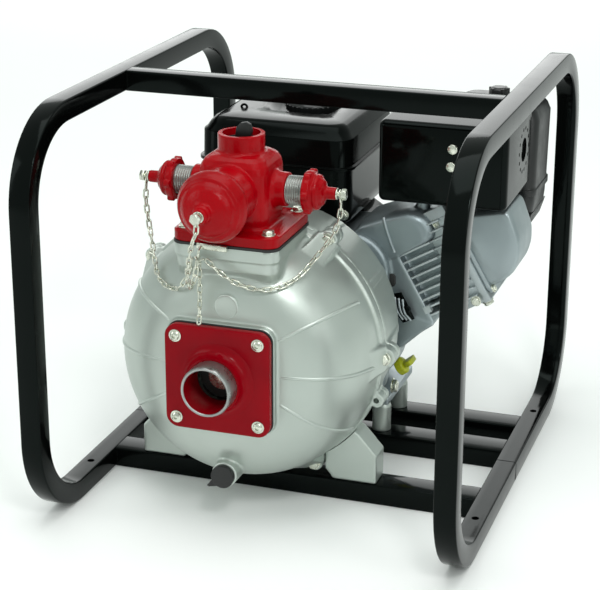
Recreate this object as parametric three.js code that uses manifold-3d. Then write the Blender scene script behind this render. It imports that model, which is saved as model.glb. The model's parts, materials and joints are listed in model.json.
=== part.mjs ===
// A portable fire pump: a self-priming centrifugal pump close-coupled to a small petrol engine, carried
// in a frame of two bent square tubes. Units are millimetres and +Z is up. The origin is on the ground,
// in the middle of the frame, and -Y is the side of the suction inlet.
//
// Each piece of the pump is one closed mesh with its own name and material.

import * as THREE from 'three';
import { mergeVertices } from 'three/addons/utils/BufferGeometryUtils.js';
import Module from 'manifold-3d';

const wasm = await Module();
wasm.setup();

// ---------------------------------------------------------------- driving dimensions

const FACE_GAP = 0.05; // between two flat faces that touch
const FIT_GAP = 0.3; // between pieces that meet on a slant or a curve

// Frame of 1 inch square tube.
const TUBE = 25.4;
const TUBE_WALL = 2;
const FRAME_WIDTH = 517;
const FRAME_LENGTH = 647;
const FRAME_HEIGHT = 498;
const BEND_RADIUS = 110; // outside of each bend
const LOOP_X = (FRAME_WIDTH - TUBE) / 2;
const BETWEEN_LOOPS = FRAME_WIDTH - 2 * TUBE;
const ANCHOR_HOLE_RADIUS = 4.5;
const ANCHOR_HOLE_Y = 167;
const CROSSBAR_Y = -41.6;
const RAIL_WIDTH = 38.1;
const RAIL_WALL = 2;
const FRONT_RAIL_Y = -102;
const MIDDLE_RAIL_Y = 46.5;
const REAR_RAIL_Y = 127.5;

// Pump axis, which is also the crankshaft's.
const PUMP_X = -41.6;
const PUMP_Z = 193;

// Pump casing: a dome that closes on a bolted rim.
const RIM_RADIUS = 159.5;
const RIM_FRONT_Y = -123.5;
const RIM_BACK_Y = -108.5;
const CASING_RADIUS = 156;
const CASING_WALL = 7;
const DOME_FLAT_RADIUS = 60;
const DOME_DEPTH = 109.5;
const DOME_STEPS = 6;

// Square flanges on the suction and the discharge side.
const FLANGE_SIZE = 127;
const FLANGE_CORNER = 15;
const GASKET = 3;
const SUCTION_FACE_Y = -253.5;
const SUCTION_PLATE = 10;
const PIPE_RADIUS = 30.15;
const PIPE_BORE = 26.2;
const PIPE_END_Y = -290.5;
const DISCHARGE_Y = -166;
const BOSS_TOP_Z = 345;
const DISCHARGE_PLATE = 12.7;

// Discharge manifold.
const OUTLET_Z = 402;
const MANIFOLD_HALF = 41;
const NECK_RADIUS = 27;
const NECK_BORE = 22;
const NECK_TOP_Z = 464;
const SIDE_BORE = 13;
const SIDE_PIPE_RADIUS = 16.7;
const SIDE_PIPE_END = 92; // from the manifold's middle
const COLLAR_END = 57;
const FRONT_COLLAR_Y = -243;

// Engine.
const BASE_Z = 72;
const COVER_FRONT_Y = -17.4;
const BLOCK_FRONT_Y = 14;
const BLOCK_BACK_Y = 125;
const BLOCK_TOP_Z = 300;
const ENGINE_RADIUS = 163;
const SHAFT_RADIUS = 12.5;
const CYLINDER_TILT = THREE.MathUtils.degToRad(30);
const CYLINDER_Y = 70;
const BORE_RADIUS = 34;
const POST_X = [-92, 70];

// Numbers of sides on round pieces.
const COARSE = 8;
const MEDIUM = 14;
const FINE = 26;

// ---------------------------------------------------------------- materials

function material(color, roughness, metalness) {
  return new THREE.MeshStandardMaterial({ color, roughness, metalness });
}

const blackPaint = () => material(0x0a0c0b, 0.22, 0.1);
const redPaint = () => material(0xa30410, 0.25, 0.1);
const castAluminium = () => material(0xa9b8ae, 0.55, 0.7);
const engineAluminium = () => material(0x7e8e90, 0.5, 0.7);
const pipeSteel = () => material(0x8c8f8c, 0.4, 0.9);
const castIron = () => material(0x4a4d4e, 0.7, 0.8);
const zinc = () => material(0xc8cdb0, 0.3, 0.9);
const blackRubber = () => material(0x101010, 0.8, 0);
const blackPlastic = () => material(0x0c0d0d, 0.5, 0);
const yellowPlastic = () => material(0xb4bb00, 0.45, 0);
const foam = () => material(0x3a3d33, 0.95, 0);

// ---------------------------------------------------------------- geometry helpers

// Turns a closed three.js geometry into a solid, with its faces pointing out.
function solid(geometry) {
  const bare = geometry.clone();
  bare.deleteAttribute('normal');
  bare.deleteAttribute('uv');
  const merged = mergeVertices(bare, 1e-4);
  const triangles = Uint32Array.from(merged.index.array);
  const points = Float32Array.from(merged.attributes.position.array);
  if (signedVolume(points, triangles) < 0) {
    for (let i = 0; i < triangles.length; i += 3) {
      [triangles[i], triangles[i + 1]] = [triangles[i + 1], triangles[i]];
    }
  }
  return new wasm.Manifold(new wasm.Mesh({ numProp: 3, vertProperties: points, triVerts: triangles }));
}

function signedVolume(points, triangles) {
  const corner = (i) => new THREE.Vector3().fromArray(points, 3 * triangles[i]);
  let volume = 0;
  for (let i = 0; i < triangles.length; i += 3) {
    volume += corner(i).dot(corner(i + 1).cross(corner(i + 2))) / 6;
  }
  return volume;
}

function geometryOf(shape) {
  const mesh = shape.getMesh();
  const geometry = new THREE.BufferGeometry();
  geometry.setAttribute('position', new THREE.BufferAttribute(mesh.vertProperties, 3));
  geometry.setIndex(new THREE.BufferAttribute(mesh.triVerts, 1));
  geometry.computeVertexNormals();
  return geometry;
}

function joined(...shapes) {
  return shapes.reduce((all, shape) => all.add(shape));
}

// A box from its lowest and highest corners.
function box([x0, y0, z0], [x1, y1, z1]) {
  const geometry = new THREE.BoxGeometry(x1 - x0, y1 - y0, z1 - z0);
  return solid(geometry.translate((x0 + x1) / 2, (y0 + y1) / 2, (z0 + z1) / 2));
}

function outline(points) {
  return new THREE.Shape(points.map(([a, b]) => new THREE.Vector2(a, b)));
}

// A rectangle with round corners, centred on a point.
function roundedRectangle(width, height, radius, [cx, cy] = [0, 0]) {
  const [x, y] = [width / 2, height / 2];
  const shape = new THREE.Shape();
  shape.absarc(cx + x - radius, cy - y + radius, radius, -Math.PI / 2, 0);
  shape.absarc(cx + x - radius, cy + y - radius, radius, 0, Math.PI / 2);
  shape.absarc(cx - x + radius, cy + y - radius, radius, Math.PI / 2, Math.PI);
  shape.absarc(cx - x + radius, cy - y + radius, radius, Math.PI, 1.5 * Math.PI);
  shape.closePath();
  return shape;
}

// An arc is drawn with twice this many sides.
const ARC_STEPS = 2;

function extruded(shape, depth, arcSteps = ARC_STEPS) {
  return new THREE.ExtrudeGeometry(shape, { depth, bevelEnabled: false, curveSegments: arcSteps });
}

// Prisms on an outline in the XZ, YZ or XY plane.
function prismAlongY(shape, y0, y1, arcSteps) {
  return solid(extruded(shape, y1 - y0, arcSteps).rotateX(Math.PI / 2).translate(0, y1, 0));
}

function prismAlongX(shape, x0, x1, arcSteps) {
  const geometry = extruded(shape, x1 - x0, arcSteps).rotateY(Math.PI / 2).rotateX(Math.PI / 2);
  return solid(geometry.translate(x0, 0, 0));
}

function prismAlongZ(shape, z0, z1, arcSteps) {
  return solid(extruded(shape, z1 - z0, arcSteps).translate(0, 0, z0));
}

// Turned shapes. A profile lists [radius, distance along the axis].
function turned(profile, sides) {
  return new THREE.LatheGeometry(profile.map(([r, d]) => new THREE.Vector2(r, d)), sides);
}

function turnedAboutY(profile, [x, z], sides) {
  return solid(turned(profile, sides).translate(x, 0, z));
}

function turnedAboutZ(profile, [x, y], sides) {
  return solid(turned(profile, sides).rotateX(Math.PI / 2).translate(x, y, 0));
}

function turnedAboutX(profile, [y, z], sides) {
  return solid(turned(profile, sides).rotateZ(-Math.PI / 2).translate(0, y, z));
}

const rod = (r, from, to) => [[0, from], [r, from], [r, to], [0, to]];
const ring = (outer, inner, from, to) => [[inner, from], [outer, from], [outer, to], [inner, to], [inner, from]];

// A shape made along +X is laid along the cylinder, which leans up and to the right of the crankshaft.
function alongCylinder(shape) {
  const turn = new THREE.Matrix4().makeRotationY(-CYLINDER_TILT);
  const place = new THREE.Matrix4().makeTranslation(PUMP_X, CYLINDER_Y, PUMP_Z);
  return solid(geometryOf(shape).applyMatrix4(turn).applyMatrix4(place));
}

// ---------------------------------------------------------------- frame

const LOOP_ARC_STEPS = 4;

// A rounded rectangle in the YZ plane, inset from the outside of the loop.
function loopOutline(inset) {
  const centre = [0, FRAME_HEIGHT / 2];
  const radius = BEND_RADIUS - inset;
  return roundedRectangle(FRAME_LENGTH - 2 * inset, FRAME_HEIGHT - 2 * inset, radius, centre);
}

function loopRing(inset, x0, x1) {
  const outer = prismAlongX(loopOutline(inset), x0, x1, LOOP_ARC_STEPS);
  const inner = prismAlongX(loopOutline(TUBE - inset), x0 - 1, x1 + 1, LOOP_ARC_STEPS);
  return outer.subtract(inner);
}

function frameLoop(side) {
  const x = side * LOOP_X;
  const hollow = loopRing(TUBE_WALL, x - TUBE / 2 + TUBE_WALL, x + TUBE / 2 - TUBE_WALL);
  let loop = loopRing(0, x - TUBE / 2, x + TUBE / 2).subtract(hollow);
  for (const y of [-ANCHOR_HOLE_Y, ANCHOR_HOLE_Y]) {
    loop = loop.subtract(turnedAboutZ(rod(ANCHOR_HOLE_RADIUS, -1, TUBE + 1), [x, y], COARSE));
  }
  return loop;
}

// A straight tube between the loops, open at its ends.
function crossTube(y, width, z0, height, wall) {
  const half = BETWEEN_LOOPS / 2 - FACE_GAP;
  const outside = box([-half, y - width / 2, z0], [half, y + width / 2, z0 + height]);
  const low = [-half - 1, y - width / 2 + wall, z0 + wall];
  const high = [half + 1, y + width / 2 - wall, z0 + height - wall];
  return outside.subtract(box(low, high));
}

const topCrossbar = () => crossTube(CROSSBAR_Y, TUBE, FRAME_HEIGHT - TUBE, TUBE, TUBE_WALL);
const rail = (y) => crossTube(y, RAIL_WIDTH, 0, TUBE, RAIL_WALL);

// ---------------------------------------------------------------- pump casing

// The dome is a superellipse that leaves the rim square and closes on a flat front.
function domeProfile(wall) {
  const points = [];
  for (let i = 0; i <= DOME_STEPS; i += 1) {
    const angle = (Math.PI / 2) * (i / DOME_STEPS);
    const radius = DOME_FLAT_RADIUS + (CASING_RADIUS - DOME_FLAT_RADIUS) * Math.cos(angle) ** 0.71;
    const depth = (DOME_DEPTH - wall) * Math.sin(angle) ** 0.91;
    points.push([radius - wall, RIM_FRONT_Y - depth]);
  }
  return points;
}

function domeSolid(wall, backY) {
  const profile = domeProfile(wall);
  const [backRadius] = profile[0];
  const [, frontY] = profile[DOME_STEPS];
  return turnedAboutY([[0, backY], [backRadius, backY], ...profile, [0, frontY]], [PUMP_X, PUMP_Z], FINE);
}

// Bolt lugs round the rim: angle from +X in degrees, distance from the axis and radius.
const RIM_LUGS = [
  [0, 161, 13], [-20, 162, 9], [-63, 166, 10], [-117, 166, 10], [-160, 162, 9], [180, 161, 13],
  [144, 163, 10], [57, 166, 11],
];

function rimLugs(y0, y1) {
  return joined(...RIM_LUGS.map(([degrees, distance, radius]) => {
    const angle = THREE.MathUtils.degToRad(degrees);
    const centre = [PUMP_X + distance * Math.cos(angle), PUMP_Z + distance * Math.sin(angle)];
    return turnedAboutY(rod(radius, y0, y1), centre, COARSE);
  }));
}

const DRAIN_Z = 67;
const DRAIN_BOSS_FRONT_Y = -235;
const DRAIN_BOSS_RADIUS = 16;
const DRAIN_BORE = 9;

// The boss under the discharge flange stands out of the dome and slopes back into it.
function dischargeBoss() {
  const front = DISCHARGE_Y - FLANGE_SIZE / 2;
  const side = outline([
    [front, BOSS_TOP_Z], [front, BOSS_TOP_Z - 17], [front + 30, BOSS_TOP_Z - 52],
    [RIM_BACK_Y, BOSS_TOP_Z - 52], [RIM_BACK_Y, BOSS_TOP_Z],
  ]);
  return prismAlongX(side, PUMP_X - FLANGE_SIZE / 2, PUMP_X + FLANGE_SIZE / 2);
}

// Room above the discharge face, where the rims stop.
function aboveBoss() {
  const half = FLANGE_SIZE / 2 + 1;
  return box([PUMP_X - half, -235, BOSS_TOP_Z], [PUMP_X + half, -90, 380]);
}

function pumpCasing() {
  const square = roundedRectangle(FLANGE_SIZE, FLANGE_SIZE, FLANGE_CORNER, [PUMP_X, PUMP_Z]);
  const suctionBossY = SUCTION_FACE_Y + SUCTION_PLATE + GASKET + 2 * FACE_GAP;
  const outside = joined(
    domeSolid(0, RIM_BACK_Y),
    turnedAboutY(rod(RIM_RADIUS, RIM_FRONT_Y, RIM_BACK_Y), [PUMP_X, PUMP_Z], FINE),
    rimLugs(RIM_FRONT_Y, RIM_BACK_Y),
    prismAlongY(square, suctionBossY, -200),
    dischargeBoss(),
    turnedAboutY(rod(DRAIN_BOSS_RADIUS, DRAIN_BOSS_FRONT_Y, -150), [PUMP_X, DRAIN_Z], MEDIUM),
  );
  return outside
    .subtract(aboveBoss())
    .subtract(domeSolid(CASING_WALL, RIM_BACK_Y + 1))
    .subtract(turnedAboutY(rod(PIPE_BORE + 6, -260, -200), [PUMP_X, PUMP_Z], MEDIUM))
    .subtract(turnedAboutZ(rod(34, 280, 400), [PUMP_X, DISCHARGE_Y], MEDIUM))
    .subtract(turnedAboutY(rod(DRAIN_BORE, -260, -150), [PUMP_X, DRAIN_Z], COARSE));
}

const SEAL_RING = 2;
const BRACKET_FRONT_Y = RIM_BACK_Y + SEAL_RING + FACE_GAP;
const BRACKET_PLATE = 10;
const BRACKET_BACK_Y = COVER_FRONT_Y - FACE_GAP;
const BRACKET_BACK_RADIUS = 147;
const FOOT_FRONT_Y = -119.5;
const FOOT_BACK_Y = -85;

const casingSeal = () => turnedAboutY(
  ring(149, 144, RIM_BACK_Y + FACE_GAP, BRACKET_FRONT_Y - FACE_GAP), [PUMP_X, PUMP_Z], FINE,
);

// One cast foot, drawn for the right side.
function bracketFoot(side) {
  const points = [
    [88, 100], [88, 36], [98, TUBE + FACE_GAP], [152.6, TUBE + FACE_GAP], [152.6, 62.4],
    [129.7, 86.3], [108, 100],
  ];
  const mirrored = points.map(([dx, z]) => [PUMP_X + side * dx, z]);
  const foot = prismAlongY(outline(mirrored), FOOT_FRONT_Y, FOOT_BACK_Y);
  return foot.subtract(turnedAboutY(rod(RIM_RADIUS + 1, -130, BRACKET_FRONT_Y), [PUMP_X, PUMP_Z], FINE));
}

// The bracket closes the casing, carries the shaft seal and bolts the pump to the engine.
function rearBracket() {
  const axis = [PUMP_X, PUMP_Z];
  const shellFront = BRACKET_FRONT_Y + BRACKET_PLATE;
  const outside = joined(
    turnedAboutY([
      [0, BRACKET_FRONT_Y], [RIM_RADIUS - 1, BRACKET_FRONT_Y], [RIM_RADIUS - 1, shellFront],
      [152, shellFront], [BRACKET_BACK_RADIUS, BRACKET_BACK_Y], [0, BRACKET_BACK_Y],
    ], axis, FINE),
    rimLugs(BRACKET_FRONT_Y, shellFront),
    bracketFoot(1),
    bracketFoot(-1),
  );
  const inside = turnedAboutY(rod(139, shellFront, BRACKET_BACK_Y - BRACKET_PLATE), axis, FINE);
  return outside
    .subtract(inside)
    .subtract(aboveBoss())
    .subtract(turnedAboutY(rod(20, BRACKET_FRONT_Y - 1, shellFront + 1), axis, MEDIUM))
    .subtract(turnedAboutY(rod(45, BRACKET_BACK_Y - 20, BRACKET_BACK_Y + 1), axis, MEDIUM));
}

const VOLUTE_FRONT_Y = -150;

// The volute wraps the impeller inside the casing, with its eye in front and its outlet on top.
function volute() {
  const axis = [PUMP_X, PUMP_Z];
  const back = BRACKET_FRONT_Y - FACE_GAP;
  const shell = turnedAboutY([
    [27, VOLUTE_FRONT_Y], [90, VOLUTE_FRONT_Y], [90, back], [82, back], [82, VOLUTE_FRONT_Y + 6],
    [27, VOLUTE_FRONT_Y + 6], [27, VOLUTE_FRONT_Y],
  ], axis, FINE);
  const outlet = box([PUMP_X - 20, VOLUTE_FRONT_Y + 8, PUMP_Z + 60], [PUMP_X + 30, back - 6, PUMP_Z + 100]);
  return shell.subtract(outlet);
}

const mechanicalSeal = () => turnedAboutY(ring(19.7, 13.1, -112, -98), [PUMP_X, PUMP_Z], MEDIUM);

const IMPELLER_RADIUS = 66;
const IMPELLER_VANES = 5;

function impeller() {
  const axis = [PUMP_X, PUMP_Z];
  const parts = [
    turnedAboutY(rod(IMPELLER_RADIUS, -120, -115), axis, MEDIUM),
    turnedAboutY(rod(18, -141, -114), axis, MEDIUM),
  ];
  for (let i = 0; i < IMPELLER_VANES; i += 1) {
    const blade = new THREE.BoxGeometry(46, 22, 4).rotateY(0.5).translate(40, -130.5, 0);
    blade.rotateY((2 * Math.PI * i) / IMPELLER_VANES).translate(PUMP_X, 0, PUMP_Z);
    parts.push(solid(blade));
  }
  return joined(...parts).subtract(turnedAboutY(rod(SHAFT_RADIUS + 0.05, -150, -100), axis, MEDIUM));
}

// ---------------------------------------------------------------- suction side

function suctionPlate(y0, y1, bore) {
  const square = roundedRectangle(FLANGE_SIZE, FLANGE_SIZE, FLANGE_CORNER, [PUMP_X, PUMP_Z]);
  return prismAlongY(square, y0, y1).subtract(turnedAboutY(rod(bore, y0 - 1, y1 + 1), [PUMP_X, PUMP_Z], MEDIUM));
}

const SUCTION_BACK_Y = SUCTION_FACE_Y + SUCTION_PLATE;
const suctionGasket = () => suctionPlate(
  SUCTION_BACK_Y + FACE_GAP, SUCTION_BACK_Y + FACE_GAP + GASKET, PIPE_BORE + 6,
);

function suctionFlange() {
  const axis = [PUMP_X, PUMP_Z];
  const hub = turnedAboutY([
    [0, SUCTION_FACE_Y - 9], [PIPE_RADIUS + 4, SUCTION_FACE_Y - 9], [PIPE_RADIUS + 6, SUCTION_FACE_Y - 4],
    [PIPE_RADIUS + 12, SUCTION_FACE_Y + 1], [0, SUCTION_FACE_Y + 1],
  ], axis, MEDIUM);
  const plate = suctionPlate(SUCTION_FACE_Y, SUCTION_BACK_Y, PIPE_BORE);
  return plate.add(hub).subtract(turnedAboutY(rod(PIPE_RADIUS + FACE_GAP, -300, SUCTION_BACK_Y - 3), axis, FINE))
    .subtract(turnedAboutY(rod(PIPE_BORE, -300, -230), axis, MEDIUM));
}

const suctionNipple = () => turnedAboutY(
  ring(PIPE_RADIUS, PIPE_BORE, PIPE_END_Y, SUCTION_BACK_Y - 3 - FACE_GAP), [PUMP_X, PUMP_Z], FINE,
);

const FLAP_FRONT_Y = -239;
const FLAP_PIVOT_Z = PUMP_Z + 25;

// The swing check valve hangs in the casing's throat, just behind the gasket.
function checkValveFlap() {
  const disc = turnedAboutY(rod(26, FLAP_FRONT_Y, FLAP_FRONT_Y + 6), [PUMP_X, PUMP_Z], MEDIUM);
  const ear = box([PUMP_X - 9, FLAP_FRONT_Y, PUMP_Z + 18], [PUMP_X + 9, FLAP_FRONT_Y + 6, PUMP_Z + 29]);
  return disc.add(ear);
}

function drainPlug() {
  const axis = [PUMP_X, DRAIN_Z];
  const front = DRAIN_BOSS_FRONT_Y - 7;
  const head = turnedAboutY(rod(14, front, DRAIN_BOSS_FRONT_Y - FACE_GAP), axis, MEDIUM);
  const stem = turnedAboutY(rod(DRAIN_BORE - FIT_GAP, front + 1, DRAIN_BOSS_FRONT_Y + 20), axis, COARSE);
  const tab = box([PUMP_X - 19, front, DRAIN_Z - 13], [PUMP_X - 6, front + 4, DRAIN_Z - 7]);
  return joined(head, stem, tab);
}

// ---------------------------------------------------------------- discharge side

const PLATE_Z = BOSS_TOP_Z + GASKET + 2 * FACE_GAP;
const MANIFOLD_TOP_Z = NECK_TOP_Z - 22;

function dischargeGasket() {
  const square = roundedRectangle(FLANGE_SIZE, FLANGE_SIZE, FLANGE_CORNER, [PUMP_X, DISCHARGE_Y]);
  const bore = turnedAboutZ(rod(34, 300, 400), [PUMP_X, DISCHARGE_Y], MEDIUM);
  return prismAlongZ(square, BOSS_TOP_Z + FACE_GAP, BOSS_TOP_Z + FACE_GAP + GASKET).subtract(bore);
}

function dischargeManifold() {
  const centre = [PUMP_X, DISCHARGE_Y];
  const square = roundedRectangle(FLANGE_SIZE, FLANGE_SIZE, FLANGE_CORNER, centre);
  const column = roundedRectangle(2 * MANIFOLD_HALF, 2 * MANIFOLD_HALF, 18, centre);
  const frontEnd = DISCHARGE_Y - MANIFOLD_HALF;
  const outside = joined(
    prismAlongZ(square, PLATE_Z, PLATE_Z + DISCHARGE_PLATE),
    prismAlongZ(column, PLATE_Z + 5, MANIFOLD_TOP_Z - 7),
    turnedAboutZ([
      [0, MANIFOLD_TOP_Z - 8], [MANIFOLD_HALF - 2, MANIFOLD_TOP_Z - 8], [NECK_RADIUS + 5, MANIFOLD_TOP_Z],
      [NECK_RADIUS, MANIFOLD_TOP_Z + 2], [NECK_RADIUS, NECK_TOP_Z], [0, NECK_TOP_Z],
    ], centre, FINE),
    turnedAboutX(rod(20, PUMP_X - COLLAR_END, PUMP_X + COLLAR_END), [DISCHARGE_Y, OUTLET_Z], MEDIUM),
    turnedAboutY(rod(34, FRONT_COLLAR_Y, frontEnd + 5), [PUMP_X, OUTLET_Z], FINE),
  );
  const cavity = prismAlongZ(
    roundedRectangle(2 * MANIFOLD_HALF - 14, 2 * MANIFOLD_HALF - 14, 14, centre), 340, MANIFOLD_TOP_Z - 16,
  );
  return outside
    .subtract(cavity)
    .subtract(turnedAboutZ(rod(NECK_BORE, 400, 480), centre, FINE))
    .subtract(turnedAboutX(rod(SIDE_BORE, PUMP_X - 70, PUMP_X + 70), [DISCHARGE_Y, OUTLET_Z], MEDIUM))
    .subtract(turnedAboutY(rod(26, FRONT_COLLAR_Y - 10, frontEnd + 10), [PUMP_X, OUTLET_Z], FINE));
}

// A threaded nipple on one side of the manifold.
function sideNipple(side) {
  const profile = ring(SIDE_PIPE_RADIUS, SIDE_BORE, COLLAR_END + FACE_GAP, SIDE_PIPE_END);
  return turnedAboutX(profile.map(([r, d]) => [r, PUMP_X + side * d]), [DISCHARGE_Y, OUTLET_Z], MEDIUM);
}

const SIDE_CAP_START = 78;
const SIDE_CAP_END = 101;
const SIDE_STEM_END = 114;
const CAP_THREAD_GAP = 0.7; // lets a cap's many-sided socket turn round the nipple

// A stepped cap with wrench lobes on its rim and a stem for the chain.
function sideCap(side) {
  const socketRadius = SIDE_PIPE_RADIUS + CAP_THREAD_GAP;
  const profile = [
    [socketRadius, SIDE_CAP_START], [24, SIDE_CAP_START], [24, SIDE_CAP_START + 7],
    [21, SIDE_CAP_START + 9], [20, SIDE_CAP_END - 8], [13, SIDE_CAP_END - 1], [7, SIDE_CAP_END],
    [7, SIDE_STEM_END], [0, SIDE_STEM_END], [0, SIDE_PIPE_END + FIT_GAP],
    [socketRadius, SIDE_PIPE_END + FIT_GAP],
  ].map(([r, d]) => [r, PUMP_X + side * d]);
  const body = turnedAboutX([...profile.slice(9), ...profile.slice(0, 9)], [DISCHARGE_Y, OUTLET_Z], MEDIUM);
  const lobes = [0, 1, 2, 3, 4, 5].map((i) => {
    const angle = (Math.PI / 3) * i;
    const middle = [DISCHARGE_Y + 22 * Math.cos(angle), OUTLET_Z + 22 * Math.sin(angle)];
    const ends = [SIDE_CAP_START + 1, SIDE_CAP_START + 9].map((d) => PUMP_X + side * d);
    return turnedAboutX(rod(5, ...ends), middle, 6);
  });
  const socketEnds = [60, SIDE_PIPE_END + FIT_GAP].map((d) => PUMP_X + side * d);
  const socket = turnedAboutX(rod(socketRadius, ...socketEnds), [DISCHARGE_Y, OUTLET_Z], MEDIUM);
  return joined(body, ...lobes).subtract(socket);
}

// The screw in a cap's stem, round which the chain's end ring turns. It starts clear of the stem.
const CAP_SCREW = [[0, 0], [8, 0], [8, 2], [3, 2], [3, 6], [7, 6], [7, 12], [0, 12]];

function sideCapBolt(side) {
  const start = SIDE_STEM_END + FACE_GAP;
  const profile = CAP_SCREW.map(([r, d]) => [r, PUMP_X + side * (start + d)]);
  return turnedAboutX(profile, [DISCHARGE_Y, OUTLET_Z], COARSE);
}

const FRONT_CAP_BACK_Y = FRONT_COLLAR_Y - FACE_GAP;
const FRONT_STEM_Y = -301;

function frontCap() {
  return turnedAboutY([
    [0, FRONT_CAP_BACK_Y], [36, FRONT_CAP_BACK_Y], [36, -254], [41, -256], [41.5, -261], [39.5, -267],
    [37, -271], [33.5, -273], [31, -276], [25, -282], [18, -286], [11, -289], [9, -291],
    [8, FRONT_STEM_Y], [0, FRONT_STEM_Y],
  ], [PUMP_X, OUTLET_Z], FINE);
}

function frontCapBolt() {
  const start = FRONT_STEM_Y - FACE_GAP;
  return turnedAboutY(CAP_SCREW.map(([r, d]) => [r, start - d]), [PUMP_X, OUTLET_Z], COARSE);
}

// A loose cup with a standing tab keeps dirt out of the open top outlet.
function neckPlug() {
  const cup = turnedAboutZ(rod(NECK_BORE - 1, NECK_TOP_Z - 14, NECK_TOP_Z - 8), [PUMP_X, DISCHARGE_Y], MEDIUM);
  const low = [PUMP_X - 8, DISCHARGE_Y - 3, NECK_TOP_Z - 9];
  const tab = box(low, [PUMP_X + 12, DISCHARGE_Y + 4, NECK_TOP_Z + 14]);
  return cup.add(tab);
}

// ---------------------------------------------------------------- chains

const HOOK = [-66, -233.5, 347];

// The hook strip is bolted under the front edge of the discharge flange and ends in an open eye.
function chainHook() {
  const [x, y, z] = HOOK;
  const strip = box([x - 6, y - 2, z - 5], [x + 32, y + 1.4, z + 3]);
  const eye = turnedAboutX(ring(6.5, 3.5, x - 3, x + 1), [y - 4, z - 8], COARSE);
  return strip.add(eye);
}

const CHAIN_RADIUS = 3.5;

// Routes of the retaining chains, each from its cap's screw to the hook.
const LEFT_CHAIN = [
  [-160.6, -166, 393.5], [-161.5, -166.5, 374], [-158, -169, 350], [-150, -178, 326], [-141, -192, 307],
  [-128, -213, 296], [-114, -226, 292], [-100, -233, 291], [-89, -236, 298], [-81, -237.5, 313],
  [-75, -238, 331],
];
const RIGHT_CHAIN = [
  [77.4, -166, 393.5], [77, -167, 379], [73, -169, 362], [66, -172, 347], [58, -178, 336],
  [49, -188, 323], [39, -202, 311], [26, -218, 304], [8, -229, 301], [-10, -233, 303],
  [-28, -235, 309], [-43, -237, 319], [-58, -238, 332],
];
const FRONT_CHAIN = [
  [-42.5, -306, 385], [-47.5, -304.5, 374], [-53, -298, 360], [-59, -290, 341], [-64, -279, 322],
  [-68, -267, 308], [-69.5, -256, 304], [-69, -248.5, 310], [-67.5, -246, 321], [-66.5, -245.5, 333],
];
const SPARE_CHAIN = [
  [-66.5, -237.5, 328], [-66, -239.5, 312], [-65, -242, 296], [-64, -245.5, 281], [-63, -250, 268],
  [-62.5, -252.5, 260.5],
];

// A chain is one plain rope of eight sides along its route.
function chain(route) {
  const path = new THREE.CatmullRomCurve3(route.map((point) => new THREE.Vector3(...point)));
  const section = new THREE.Shape();
  section.absarc(0, 0, CHAIN_RADIUS, 0, 2 * Math.PI);
  const steps = Math.ceil(path.getLength() / (5 * CHAIN_RADIUS));
  return solid(new THREE.ExtrudeGeometry(section, { steps, extrudePath: path, curveSegments: 4 }));
}

// ---------------------------------------------------------------- engine block

// The rounded crankcase section, cut flat below, on top and on the left.
function crankcaseSection(radius, y0, y1, inset) {
  const disc = turnedAboutY(rod(radius - inset, y0, y1), [PUMP_X, PUMP_Z], FINE);
  const low = [PUMP_X - 120 + inset, y0 - 1, BASE_Z + inset];
  const high = [PUMP_X + 128 - inset, y1 + 1, BLOCK_TOP_Z - inset];
  return disc.intersect(box(low, high));
}

function crankcaseCover() {
  const back = BLOCK_FRONT_Y - FACE_GAP;
  return crankcaseSection(ENGINE_RADIUS, COVER_FRONT_Y, back, 0)
    .subtract(crankcaseSection(ENGINE_RADIUS, COVER_FRONT_Y + 9, back + 1, 9))
    .subtract(turnedAboutY(rod(SHAFT_RADIUS + 1, -30, 20), [PUMP_X, PUMP_Z], MEDIUM));
}

const BARREL_START = 120;
const BARREL_END = 204;
const FIN_START = 160;
const FIN_COUNT = 11;
const FIN_PITCH = 10.5;
const LOWEST_FIN = -84;
const FIN_THICKNESS = 2.6;

// Cooling fins lie in planes along the cylinder, from one distance to another.
function coolingFins(from, to) {
  const fins = [];
  for (let i = 0; i < FIN_COUNT; i += 1) {
    const height = LOWEST_FIN + i * FIN_PITCH;
    fins.push(box([from, -52, height - FIN_THICKNESS / 2], [to, 52, height + FIN_THICKNESS / 2]));
  }
  return joined(...fins);
}

// The shoulder beside the cylinder, under the exhaust.
function blockShoulder() {
  const shape = outline([
    [38, 284], [92, 268], [143, 300], [141, 312], [134, 324], [124, 331], [108, 334], [78, 324],
    [38, 308],
  ]);
  return prismAlongY(shape, BLOCK_FRONT_Y, 100);
}

// The crankcase slopes up from the dipstick to the lower edge of the cylinder's flange.
function blockUnderside() {
  const shape = outline([[70, 150], [104, 154], [128, 177], [144, 189], [100, 200], [70, 190]]);
  return prismAlongY(shape, BLOCK_FRONT_Y, 110);
}

function cylinderBlock() {
  const core = box([BARREL_START, -45, -70], [BARREL_END, 45, 38]);
  const wall = box([BARREL_START, -54, -94], [FIN_START, 54, 40]);
  const barrel = alongCylinder(joined(core, wall, coolingFins(FIN_START - 1, BARREL_END)));
  const bore = alongCylinder(turnedAboutX(rod(BORE_RADIUS, 60, BARREL_END + 5), [0, 0], FINE));
  const base = box([-135, 25, BASE_Z - 5], [84, 146, BASE_Z + 4]);
  const cavity = crankcaseSection(ENGINE_RADIUS, BLOCK_FRONT_Y - 1, BLOCK_BACK_Y - 9, 9);
  const section = crankcaseSection(ENGINE_RADIUS, BLOCK_FRONT_Y, BLOCK_BACK_Y, 0);
  const pastBarrel = alongCylinder(box([BARREL_END, -80, -120], [300, 80, 120]));
  return joined(section, blockShoulder(), blockUnderside(), base, barrel)
    .subtract(pastBarrel)
    .subtract(cavity)
    .subtract(bore)
    .subtract(turnedAboutY(rod(SHAFT_RADIUS + 1, 110, 130), [PUMP_X, PUMP_Z], MEDIUM));
}

const HEAD_START = BARREL_END + FIT_GAP;
const HEAD_END = 238;

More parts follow.
